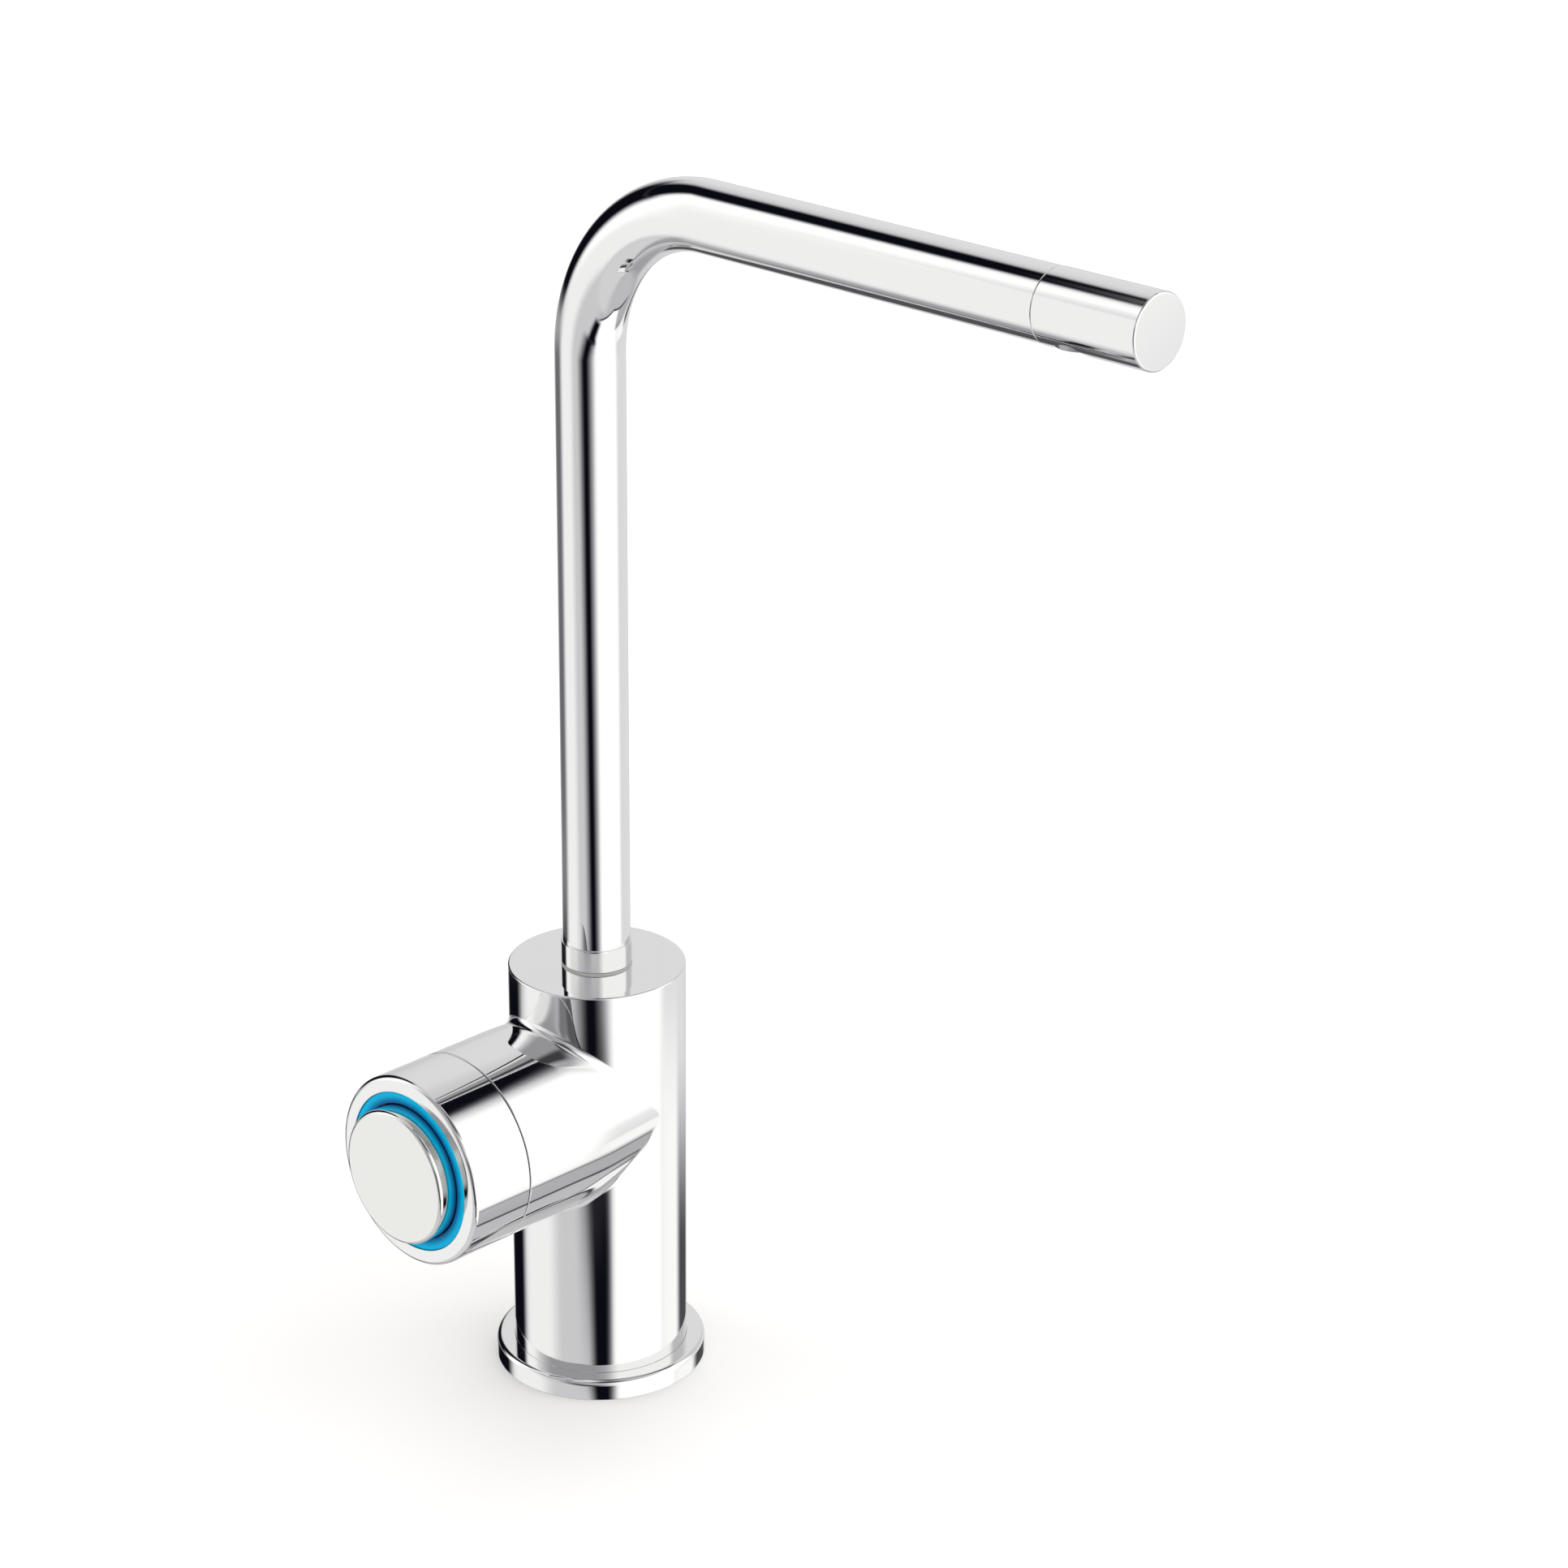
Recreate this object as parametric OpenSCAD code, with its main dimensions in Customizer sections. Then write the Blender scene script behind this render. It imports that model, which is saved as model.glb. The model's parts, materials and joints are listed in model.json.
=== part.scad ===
// Single-hole water filter faucet: an upright body with a side branch, a swivelling
// L-shaped spout, and a knob with a push button in its face.
// The origin is on the axis of the body, on the worktop. The spout points along -Y,
// the branch and its knob along -X. Lengths are in millimetres.

/* [Body] */
// Diameter of the upright body
body_d = 50; // [46:0.5:54]
// Height of the body's top above the worktop
body_h = 124.5; // [120:0.5:150]
// Bevel round the body's top edge
body_bevel = 0.5; // [0.2:0.1:1.5]

/* [Branch] */
// Diameter of the side branch and its knob
branch_d = 54.8; // [53:0.1:60]
// Height of the branch's axis above the worktop
branch_z = 84.5; // [80:0.5:88]
// Distance from the body's axis to the branch's end
branch_end = 51.2; // [51:0.1:60]
// Length over which the branch draws in to the body's diameter
blend_len = 25; // [15:1:30]

/* [Flange] */
// Diameter of the base flange
flange_d = 60.4; // [58:0.1:70]
// Height of the base flange
flange_h = 6; // [5:0.5:10]
// Rounding of the flange's top edge
flange_round = 1.5; // [0.5:0.1:2]
// Height at which the body stands inside the flange
body_seat = 3; // [2:0.5:4]
// Width of the base gasket
gasket_w = 4; // [2:0.5:5]
// Thickness of the base gasket
gasket_t = 2; // [1:0.1:2]

/* [Spout] */
// Diameter of the spout tube
tube_d = 19; // [18:0.5:20]
// Wall of the spout tube
tube_wall = 1.5; // [1:0.1:2]
// Height of the arm's axis above the worktop
arm_z = 346.6; // [280:1:400]
// Radius of the bend on the tube's axis
bend_r = 44.5; // [30:0.5:60]
// Distance from the body's axis to the outlet cap
cap_start = 160; // [120:1:220]
// Length of the outlet cap
cap_len = 31.4; // [29:0.2:45]
// Distance from the cap's start to the outlet's axis
outlet_in = 8.4; // [8.3:0.1:14]
// Wall of the collar round the spout's foot
collar_wall = 0.45; // [0.4:0.05:1.5]
// Height of the collar
collar_h = 6.5; // [4:0.5:12]
// Thickness of the glide washer under the collar
glide_t = 0.5; // [0.4:0.1:1]
// Depth of the socket that takes the spout's foot
socket_deep = 30; // [29:0.5:32]
// Swivel of the spout to each side, in degrees
swivel = 90; // [30:5:110]

/* [Aerator] */
// Outer diameter of the aerator housing
aerator_d = 14; // [13:0.1:14.2]
// Wall of the aerator housing
aerator_wall = 1.2; // [0.8:0.1:1.5]
// Depth of the housing's lower edge below the arm's axis
aerator_low = 7.8; // [6:0.1:9]
// Diameter of one water hole in the insert
jet_d = 1.4; // [0.8:0.1:1.5]

/* [Knob] */
// Length of the knob sleeve
knob_len = 20; // [18:0.5:30]
// Gap between the branch's end and the knob
knob_gap = 0.3; // [0.2:0.05:0.5]
// Rounding of the knob's front edge
knob_round = 1.6; // [0.5:0.1:2.5]
// Diameter of the recess in the knob's face
recess_d = 45.8; // [45:0.1:48]
// Thickness of the marker ring
ring_t = 4; // [2:0.5:6]
// Depth of the marker ring's face below the knob's face
ring_sunk = 0.4; // [0:0.1:1]
// Turn of the knob from shut to open, in degrees
knob_turn = 90; // [60:5:90]

/* [Button] */
// Diameter of the push button
button_d = 38.6; // [34:0.1:40]
// Height of the button above the knob's face
button_proud = 5.5; // [4:0.1:7]
// Bevel round the button's face
button_bevel = 1.2; // [0.5:0.1:2]
// Travel of the push button
button_travel = 3; // [1:0.1:3.5]
// Diameter of the spring's wire
spring_wire = 1; // [0.6:0.1:1.2]
// Number of turns of the spring
spring_turns = 5; // [4:1:6]

/* [Valve] */
// Diameter of the cartridge
cartridge_d = 35; // [32:0.5:36]
// Diameter of the ceramic discs
disc_d = 27; // [25:0.5:28]
// Thickness of each ceramic disc
disc_t = 3; // [2.5:0.1:4]
// Diameter of the two water ports in the discs
port_d = 6; // [4:0.5:6]
// Distance of each port from the valve's axis
port_off = 6.5; // [6:0.1:7]
// Diameter of the valve spindle
spindle_d = 12; // [11:0.5:13]
// Diameter of the button's stem
stem_d = 4; // [3:0.1:4.2]

/* [Fixing] */
// Outer diameter of the threaded shank
shank_d = 33; // [31:0.5:34]
// Diameter of the passage through the shank
shank_bore_d = 26; // [20:0.5:27]
// Length of the shank below the worktop's surface
shank_low = 60; // [60:1:80]
// Length of the plain pilot end below the shank's thread
pilot_len = 10; // [6:0.5:12]
// Thickness of the worktop between flange and washer
worktop_t = 30; // [10:1:32]
// Outer diameter of the rubber washer and the clamp washer
washer_d = 54; // [46:1:60]
// Thickness of the rubber washer
rubber_t = 3; // [2:0.5:4]
// Thickness of the clamp washer
clamp_t = 2; // [1.5:0.5:3]
// Height of the fixing nut
nut_h = 10; // [6:1:12]
// Width of the fixing nut across its flats
nut_flats = 42; // [40:1:46]
// Diameter of the inlet thread in the body
inlet_d = 10; // [8:0.5:12]
// Depth of the inlet thread
inlet_deep = 12; // [8:0.5:13]

/* [Hidden] */

$fn = 96;
over = 1;          // how far a cut runs past a face
run_gap = 0.05;    // radial clearance of a running fit
slip = 0.02;       // radial clearance between two pieces that are fixed together
guide_gap = 0.25;  // clearance of the button in the ring and of its lip in the knob

body_r = body_d / 2;
branch_r = branch_d / 2;
flange_r = flange_d / 2;
gasket_r = flange_r - 2;
tube_r = tube_d / 2;
tube_in = tube_r - tube_wall;
collar_r = tube_r + collar_wall;
shank_r = shank_d / 2;
shank_bore_r = shank_bore_d / 2;
shank_pass_r = shank_r + 0.5;
shank_lead = 1;
shank_in = 12;
thread_deep = 1.2;
pilot_r = shank_r - thread_deep;

// Socket and foot of the spout
foot_r = tube_r - 0.2;
socket_r = foot_r + run_gap;
socket_z = body_h - socket_deep;
foot_low = socket_z + 2;
foot_top = body_h + glide_t + 0.1;
foot_bore_r = 5;
spigot_len = 12;
seal_groove_r = foot_r - 1.8;
seal_groove_w = 2.6;
seal_wire_r = (socket_r - seal_groove_r) / 2 - slip;
seal_ring_r = (socket_r + seal_groove_r) / 2 - slip / 2;
seal_depths = [14, 21];

// Lock screw at the back of the body, and the slot that it runs in
lock_down = 7;
lock_z = body_h - lock_down;
lock_tip_r = 2;
lock_tip_len = 4;
lock_screw_r = 3;
lock_screw_len = 10;
lock_key_deep = 3;
lock_key_r = 1.6;
lock_slot_r = foot_r - 2.3;
lock_slot_h = 2 * lock_tip_r + 0.4;
lock_slot_half = swivel + asin((lock_tip_r + 0.1) / lock_slot_r);

// Valve, as distances from the body's axis along the branch
chamber_u = socket_r + 3;
chamber_r = cartridge_d / 2;
seal_out = port_d / 2 + 1.6;
seal_h = 2;
seal_stand = 0.4;
base_u = chamber_u + seal_stand;
base_t = 4;
disc_u = base_u + base_t;
disc_r = disc_d / 2;
disc_gap = 0.05;
disc2_u = disc_u + disc_t + disc_gap;
dog_u = disc2_u + disc_t;
dog_t = 3;
dog_r = disc_r - 1;
stop_r = dog_r + 2.7;
stop_w = 3;
stop_gap = 0.15;
tongue_w = 4;
tongue_h = 1;
pocket_h = 1.2;
spindle_r = spindle_d / 2;
cup_r = disc_r + 0.2;
cup_end = dog_u + dog_t + 0.2;
stop_half = asin((stop_w / 2 + stop_gap) / cup_r);
neck_in = 7.5;
body_neck_u = cup_end + neck_in;
seal_in = 3.5;
spindle_seal_u = cup_end + seal_in;
spindle_groove_w = 2.2;
spindle_groove_r = spindle_r - 1.4;
stem_r = stem_d / 2;
stem_bore_r = stem_r + 0.08;
stem_bore_u = dog_u + dog_t + 3;
mouth_r = chamber_r + 3.5;
cart_nut_h = 8;
cart_nut_u = body_neck_u;
key_hole_r = 1.5;
key_hole_deep = 3;

// Knob and button
knob_u = branch_end + knob_gap;
rim_u = knob_u + knob_len;
web_t = 4;
web_u = knob_u + web_t;
guide_len = 4.5;
guide_r = mouth_r - 0.1;
hub_r = spindle_r + 3;
neck_r = hub_r + 1.5;
guide_wall = 1.9;
hub_u = cart_nut_u + cart_nut_h + 4;
flat_half = spindle_r - 1;
spindle_end_u = web_u + 6;
thread_r = spindle_r - 1.2;
knob_nut_h = 5;
knob_nut_r = hub_r;
ring_out = recess_d / 2 - run_gap;
ring_u = rim_u - ring_sunk - ring_t;
cavity_r = recess_d / 2 - 1.9;
button_r = button_d / 2;
ring_in = button_r + guide_gap;
button_u = rim_u + button_proud;
button_wall = 2;
button_front_t = 3;
lip_u = ring_u - 0.2;
lip_t = 1.5;
skirt_u = lip_u - lip_t;
lip_r = cavity_r - guide_gap;
boss_r = stem_r + 2;
stem_u = stem_bore_u + button_travel + 1;
spring_seat_u = web_u + knob_nut_h;
spring_front_u = button_u - button_front_t;
boss_len = spring_front_u - spindle_end_u - button_travel - 1;
spring_r = spindle_r + 1.2;

// Outlet
cap_r = tube_r + 0.1;
outlet_y = cap_start + outlet_in;
cap_spigot = 10;
cap_bevel = 0.6;
cap_bore_r = 5;
aerator_r = aerator_d / 2;
aerator_bore_r = aerator_r + run_gap;
aerator_in = aerator_r - aerator_wall;
aerator_lip = 0.8;
aerator_top = 1;
key_slot_w = 2;
insert_h = aerator_low - aerator_lip - aerator_top - 0.5;

// Water ways in the body
way_r = 3.5;
inlet_z = body_seat + shank_in;
cross_r = port_d / 2;

// A solid that lies along the branch: its own Z runs away from the body
module along_branch(u = 0) {
    translate([-u, 0, branch_z]) rotate([0, -90, 0]) children();
}

// A solid that lies along the arm: its own Z runs away from the body
module along_arm(y = 0) {
    translate([0, -y, arm_z]) rotate([90, 0, 0]) children();
}

// A round tube wall
module ring(r_out, r_in, h) {
    difference() {
        cylinder(r = r_out, h = h);
        translate([0, 0, -over]) cylinder(r = r_in, h = h + 2 * over);
    }
}

// An O-ring that lies flat round Z
module o_ring(r_mid, r_wire) {
    rotate_extrude() translate([r_mid, 0]) circle(r = r_wire, $fn = 24);
}

// A disc whose upper edge is rounded
module round_top_disc(r, h, edge) {
    rotate_extrude() union() {
        square([r, h - edge]);
        square([r - edge, h]);
        intersection() {
            translate([r - edge, h - edge]) circle(r = edge, $fn = 48);
            translate([r - edge, h - edge]) square([edge, edge]);
        }
    }
}

// A disc whose upper edge is bevelled
module bevel_top_disc(r, h, edge) {
    union() {
        cylinder(r = r, h = h - edge);
        translate([0, 0, h - edge]) cylinder(r1 = r, r2 = r - edge, h = edge);
    }
}

module base_flange() {
    color("silver") difference() {
        round_top_disc(flange_r, flange_h, flange_round);
        translate([0, 0, body_seat]) cylinder(r = body_r + slip, h = flange_h);
        translate([0, 0, -over]) cylinder(r = shank_pass_r, h = flange_h + 2 * over);
        translate([0, 0, -over])
            ring(gasket_r + slip, gasket_r - gasket_w - slip, gasket_t + over);
    }
}

module base_gasket() {
    color("dimgray") ring(gasket_r, gasket_r - gasket_w, gasket_t);
}

// The body's outside: the upright, the branch, and the stretch where the branch
// draws in until it is as wide as the upright
module body_outside() {
    slope = (branch_r - body_r) / blend_len;
    inside = 3;
    translate([0, 0, body_seat])
        bevel_top_disc(body_r, body_h - body_seat, body_bevel);
    along_branch(-inside)
        cylinder(r1 = body_r - slope * inside, r2 = branch_r, h = blend_len + inside);
    along_branch(blend_len) cylinder(r = branch_r, h = branch_end - blend_len);
}

// The water ways: up from the inlet to the valve, and on from the valve to the spout
module water_ways() {
    low_z = branch_z - port_off;
    high_z = branch_z + port_off;
    translate([0, 0, inlet_z + inlet_deep - over])
        cylinder(r = way_r, h = low_z + cross_r - inlet_z - inlet_deep + over);
    translate([0, 0, high_z - cross_r])
        cylinder(r = way_r, h = socket_z - high_z + cross_r + over);
    for (side = [-1, 1])
        along_branch(-2) translate([side * port_off, 0, 0])
            cylinder(r = cross_r, h = chamber_u + 2 + over);
}

module body_casting() {
    color("silver") difference() {
        body_outside();
        translate([0, 0, socket_z]) cylinder(r = socket_r, h = socket_deep + over);
        translate([0, 0, lock_z]) rotate([-90, 0, 0])
            cylinder(r = lock_screw_r + slip, h = body_r + over);
        translate([0, 0, body_seat - over]) cylinder(r = shank_r + slip, h = inlet_z - body_seat + over);
        translate([0, 0, inlet_z - over]) cylinder(r = inlet_d / 2, h = inlet_deep + over);
        water_ways();
        along_branch(chamber_u) cylinder(r = chamber_r, h = branch_end);
        along_branch(cart_nut_u) cylinder(r = mouth_r, h = branch_end);
    }
}

// The shank: threaded, with a plain pilot end that finds the nut before the thread does
module threaded_shank() {
    color("goldenrod") translate([0, 0, -shank_low]) difference() {
        union() {
            cylinder(r1 = pilot_r - shank_lead, r2 = pilot_r, h = shank_lead);
            translate([0, 0, shank_lead]) cylinder(r = pilot_r, h = pilot_len - shank_lead);
            translate([0, 0, pilot_len]) cylinder(r1 = pilot_r, r2 = shank_r, h = thread_deep);
            translate([0, 0, pilot_len + thread_deep])
                cylinder(r = shank_r, h = shank_low + inlet_z - pilot_len - thread_deep);
        }
        translate([0, 0, -over]) cylinder(r = shank_bore_r, h = shank_low + inlet_z + 2 * over);
    }
}

module rubber_washer() {
    color("dimgray") translate([0, 0, -worktop_t - rubber_t])
        ring(washer_d / 2, shank_pass_r, rubber_t);
}

module clamp_washer() {
    color("lightsteelblue") translate([0, 0, -worktop_t - rubber_t - clamp_t])
        ring(washer_d / 2, shank_pass_r, clamp_t);
}

module fixing_nut() {
    flat_r = nut_flats / 2;
    bevel_r = flat_r + 2;
    color("goldenrod") translate([0, 0, -worktop_t - rubber_t - clamp_t - nut_h])
        difference() {
            intersection() {
                cylinder(r = flat_r / cos(30), h = nut_h, $fn = 6);
                translate([0, 0, -over]) cylinder(r1 = bevel_r, r2 = bevel_r + nut_h, h = nut_h + 2 * over);
                translate([0, 0, -over]) cylinder(r1 = bevel_r + nut_h, r2 = bevel_r, h = nut_h + 2 * over);
            }
            translate([0, 0, -over]) cylinder(r = shank_r + slip, h = nut_h + 2 * over);
        }
}

module glide_washer() {
    color("whitesmoke") translate([0, 0, body_h])
        ring(collar_r, socket_r + 0.1, glide_t);
}

module spout_collar() {
    color("silver") translate([0, 0, foot_top])
        difference() {
            bevel_top_disc(collar_r, collar_h, collar_wall / 2);
            translate([0, 0, -over]) cylinder(r = tube_r + slip, h = collar_h + 2 * over);
        }
}

// The spout's route as a solid of one radius: riser, bend and arm
module spout_run(r, start, stop) {
    translate([0, 0, start]) cylinder(r = r, h = arm_z - bend_r - start);
    translate([0, -bend_r, arm_z - bend_r]) rotate([0, 0, 90]) rotate([90, 0, 0])
        rotate_extrude(angle = 90) translate([bend_r, 0]) circle(r = r);
    along_arm(bend_r) cylinder(r = r, h = stop - bend_r);
}

module spout_tube() {
    color("silver") difference() {
        spout_run(tube_r, foot_top, cap_start);
        spout_run(tube_in, foot_top - over, cap_start + over);
    }
}

// The slot of the lock screw: a groove that goes only part of the way round
module lock_slot() {
    rotate([0, 0, 90 - lock_slot_half])
        rotate_extrude(angle = 2 * lock_slot_half)
            translate([lock_slot_r, -lock_slot_h / 2]) square([foot_r, lock_slot_h]);
}

module spout_foot() {
    color("goldenrod") difference() {
        union() {
            translate([0, 0, foot_low]) cylinder(r = foot_r, h = foot_top - foot_low);
            translate([0, 0, foot_top - over]) cylinder(r = tube_in - slip, h = spigot_len + over);
        }
        translate([0, 0, foot_low - over]) cylinder(r = foot_bore_r, h = 2 * socket_deep);
        translate([0, 0, lock_z]) lock_slot();
        for (depth = seal_depths)
            translate([0, 0, body_h - depth - seal_groove_w / 2])
                ring(foot_r + over, seal_groove_r, seal_groove_w);
    }
}

module spout_seals() {
    color("dimgray") for (depth = seal_depths)
        translate([0, 0, body_h - depth]) o_ring(seal_ring_r, seal_wire_r);
}

module spout_lock_screw() {
    tip = lock_slot_r + 0.3;
    color("lightsteelblue") translate([0, 0, lock_z]) rotate([-90, 0, 0]) difference() {
        union() {
            translate([0, 0, tip]) cylinder(r = lock_tip_r, h = lock_tip_len + over);
            translate([0, 0, tip + lock_tip_len]) cylinder(r = lock_screw_r, h = lock_screw_len);
        }
        translate([0, 0, tip + lock_tip_len + lock_screw_len - lock_key_deep])
            cylinder(r = lock_key_r, h = lock_key_deep + over, $fn = 6);
    }
}

module outlet_cap() {
    color("silver") difference() {
        union() {
            along_arm(cap_start) bevel_top_disc(cap_r, cap_len, cap_bevel);
            along_arm(cap_start - cap_spigot) cylinder(r = tube_in - slip, h = cap_spigot + over);
        }
        along_arm(cap_start - cap_spigot - over)
            cylinder(r = cap_bore_r, h = cap_spigot + outlet_in + over);
        translate([0, -outlet_y, arm_z - 2 * cap_r])
            cylinder(r = aerator_bore_r, h = 2 * cap_r);
    }
}

module aerator_housing() {
    rise = aerator_low - aerator_top;
    color("silver") translate([0, -outlet_y, arm_z - aerator_low]) difference() {
        cylinder(r = aerator_r, h = rise);
        translate([0, 0, aerator_lip]) cylinder(r = aerator_in, h = rise);
        translate([0, 0, -over]) cylinder(r = aerator_in - aerator_lip, h = rise);
        for (turn = [45, 135]) rotate([0, 0, turn])
            translate([-aerator_r - over, -key_slot_w / 2, -over])
                cube([2 * aerator_r + 2 * over, key_slot_w, over + aerator_lip / 2]);
    }
}

module aerator_washer() {
    color("dimgray") translate([0, -outlet_y, arm_z - aerator_top])
        ring(aerator_r, cap_bore_r, aerator_top);
}

module aerator_insert() {
    pitch = jet_d + 0.7;
    color("whitesmoke")
        translate([0, -outlet_y, arm_z - aerator_low + aerator_lip]) difference() {
            cylinder(r = aerator_in - slip, h = insert_h);
            for (row = [-2 : 2], col = [-2 : 2]) if (abs(row + col) <= 2)
                translate([pitch * (col + row / 2), pitch * row * sin(60), -over])
                    cylinder(r = jet_d / 2, h = insert_h + 2 * over, $fn = 24);
        }
}

module cartridge_base() {
    color("whitesmoke") along_branch(base_u) difference() {
        cylinder(r = chamber_r - run_gap, h = base_t);
        for (side = [-1, 1]) translate([side * port_off, 0, 0]) {
            translate([0, 0, -over]) cylinder(r = port_d / 2, h = base_t + 2 * over);
            translate([0, 0, -over]) cylinder(r = seal_out + slip, h = seal_h - seal_stand + over);
        }
    }
}

module seat_seals() {
    color("dimgray") for (side = [-1, 1])
        along_branch(chamber_u) translate([side * port_off, 0, 0])
            ring(seal_out, port_d / 2 + 0.2, seal_h);
}

module fixed_ceramic_disc() {
    color("ivory") along_branch(disc_u) difference() {
        cylinder(r = disc_r, h = disc_t);
        for (side = [-1, 1]) translate([side * port_off, 0, -over])
            cylinder(r = port_d / 2, h = disc_t + 2 * over);
    }
}

// The moving disc has a long pocket towards the fixed disc. The pocket lies across the
// ports while the valve is shut, and joins them when it has turned with the knob.
module moving_ceramic_disc() {
    half = port_off;
    color("ivory") along_branch(disc2_u) difference() {
        cylinder(r = disc_r, h = disc_t);
        translate([0, 0, -over]) union() {
            translate([-port_d / 2, -half, 0]) cube([port_d, 2 * half, pocket_h + over]);
            for (side = [-1, 1]) translate([0, side * half, 0])
                cylinder(r = port_d / 2, h = pocket_h + over);
        }
        translate([-disc_r - over, -tongue_w / 2 - slip, disc_t - tongue_h])
            cube([2 * disc_r + 2 * over, tongue_w + 2 * slip, tongue_h + over]);
    }
}

// A part of the cup's wall that is cut away from one height to another
module cup_cut(low_u, high_u, half) {
    translate([0, 0, low_u - disc_u]) rotate([0, 0, -half]) rotate_extrude(angle = 2 * half)
        translate([cup_r - over, 0]) square([stop_r + stop_gap - cup_r + over, high_u - low_u]);
}

module cartridge_body() {
    color("whitesmoke") along_branch(disc_u) difference() {
        union() {
            cylinder(r = chamber_r - run_gap, h = body_neck_u - disc_u);
            translate([0, 0, body_neck_u - disc_u - over])
                cylinder(r = neck_r, h = cart_nut_h - 1 + over);
        }
        translate([0, 0, -over]) cylinder(r = cup_r, h = cup_end - disc_u + over);
        cup_cut(dog_u - stop_gap, dog_u + dog_t + stop_gap / 2, knob_turn / 2 + stop_half);
        cup_cut(disc_u - over, dog_u + over, stop_half);
        cylinder(r = spindle_r + run_gap, h = branch_end);
    }
}

// The spindle: a drive dog with a tongue and a stop, a round shaft with a seal groove,
// two flats that carry the knob, and a threaded end
module valve_spindle() {
    color("goldenrod") along_branch(0) difference() {
        union() {
            translate([0, 0, dog_u]) cylinder(r = dog_r, h = dog_t);
            rotate([0, 0, -knob_turn / 2]) translate([0, -stop_w / 2, dog_u])
                cube([stop_r, stop_w, dog_t]);
            translate([0, 0, dog_u - tongue_h + slip]) intersection() {
                cylinder(r = dog_r, h = tongue_h + over);
                translate([-dog_r, -tongue_w / 2, 0]) cube([2 * dog_r, tongue_w, tongue_h + over]);
            }
            translate([0, 0, dog_u]) cylinder(r = spindle_r, h = hub_u - dog_u);
            translate([0, 0, hub_u - over]) intersection() {
                cylinder(r = spindle_r, h = web_u - hub_u + over);
                translate([-flat_half, -spindle_r, 0])
                    cube([2 * flat_half, 2 * spindle_r, web_u - hub_u + over]);
            }
            translate([0, 0, web_u - over]) cylinder(r = thread_r, h = spindle_end_u - web_u + over);
        }
        translate([0, 0, stem_bore_u]) cylinder(r = stem_bore_r, h = branch_end);
        translate([0, 0, spindle_seal_u - spindle_groove_w / 2])
            ring(spindle_r + over, spindle_groove_r, spindle_groove_w);
    }
}

module spindle_seal() {
    wire = (spindle_r + run_gap - spindle_groove_r) / 2 - slip;
    middle = (spindle_r + run_gap + spindle_groove_r) / 2 - slip / 2;
    color("dimgray") along_branch(spindle_seal_u) o_ring(middle, wire);
}

module cartridge_nut() {
    color("goldenrod") along_branch(cart_nut_u) difference() {
        cylinder(r = mouth_r - run_gap, h = cart_nut_h);
        translate([0, 0, -over]) cylinder(r = neck_r + slip, h = cart_nut_h + 2 * over);
        for (turn = [0 : 60 : 300]) rotate([0, 0, turn])
            translate([(neck_r + mouth_r) / 2, 0, cart_nut_h - key_hole_deep])
                cylinder(r = key_hole_r, h = key_hole_deep + over, $fn = 24);
    }
}

// The knob: a sleeve with a web, a guide ring that runs inside the branch's mouth, a hub
// on the spindle's flats, and a stepped recess for the ring and the button
module knob_sleeve() {
    color("silver") difference() {
        union() {
            along_branch(knob_u) round_top_disc(branch_r, knob_len, knob_round);
            along_branch(knob_u - guide_len) cylinder(r = guide_r, h = guide_len + over);
            along_branch(hub_u) cylinder(r = hub_r, h = knob_u - hub_u + over);
        }
        along_branch(knob_u - guide_len - over) ring(guide_r - guide_wall, hub_r, guide_len + over);
        along_branch(web_u) cylinder(r = cavity_r, h = knob_len);
        along_branch(ring_u) cylinder(r = recess_d / 2, h = knob_len);
        along_branch(hub_u - over) intersection() {
            cylinder(r = spindle_r + slip, h = branch_end);
            translate([-flat_half - slip, -branch_r, 0])
                cube([2 * flat_half + 2 * slip, branch_d, branch_end]);
        }
    }
}

module knob_nut() {
    color("goldenrod") along_branch(web_u) difference() {
        cylinder(r = knob_nut_r, h = knob_nut_h, $fn = 6);
        translate([0, 0, -over]) cylinder(r = thread_r + slip, h = knob_nut_h + 2 * over);
    }
}

module marker_ring() {
    color("deepskyblue") along_branch(ring_u) ring(ring_out, ring_in, ring_t);
}

module push_button() {
    deep = spring_front_u - skirt_u + over;
    color("gainsboro") difference() {
        union() {
            along_branch(skirt_u) bevel_top_disc(button_r, button_u - skirt_u, button_bevel);
            along_branch(skirt_u) cylinder(r = lip_r, h = lip_t);
        }
        along_branch(skirt_u - over) ring(button_r - button_wall, boss_r, deep);
        along_branch(skirt_u - over) cylinder(r = boss_r + over, h = deep - boss_len);
        along_branch(skirt_u - over) cylinder(r = stem_r + slip, h = deep);
    }
}

module button_stem() {
    tip = 1;
    color("lightsteelblue") union() {
        along_branch(stem_u + tip) cylinder(r = stem_r, h = spring_front_u - stem_u - tip);
        along_branch(stem_u) cylinder(r1 = stem_r / 2, r2 = stem_r, h = tip);
    }
}

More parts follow.
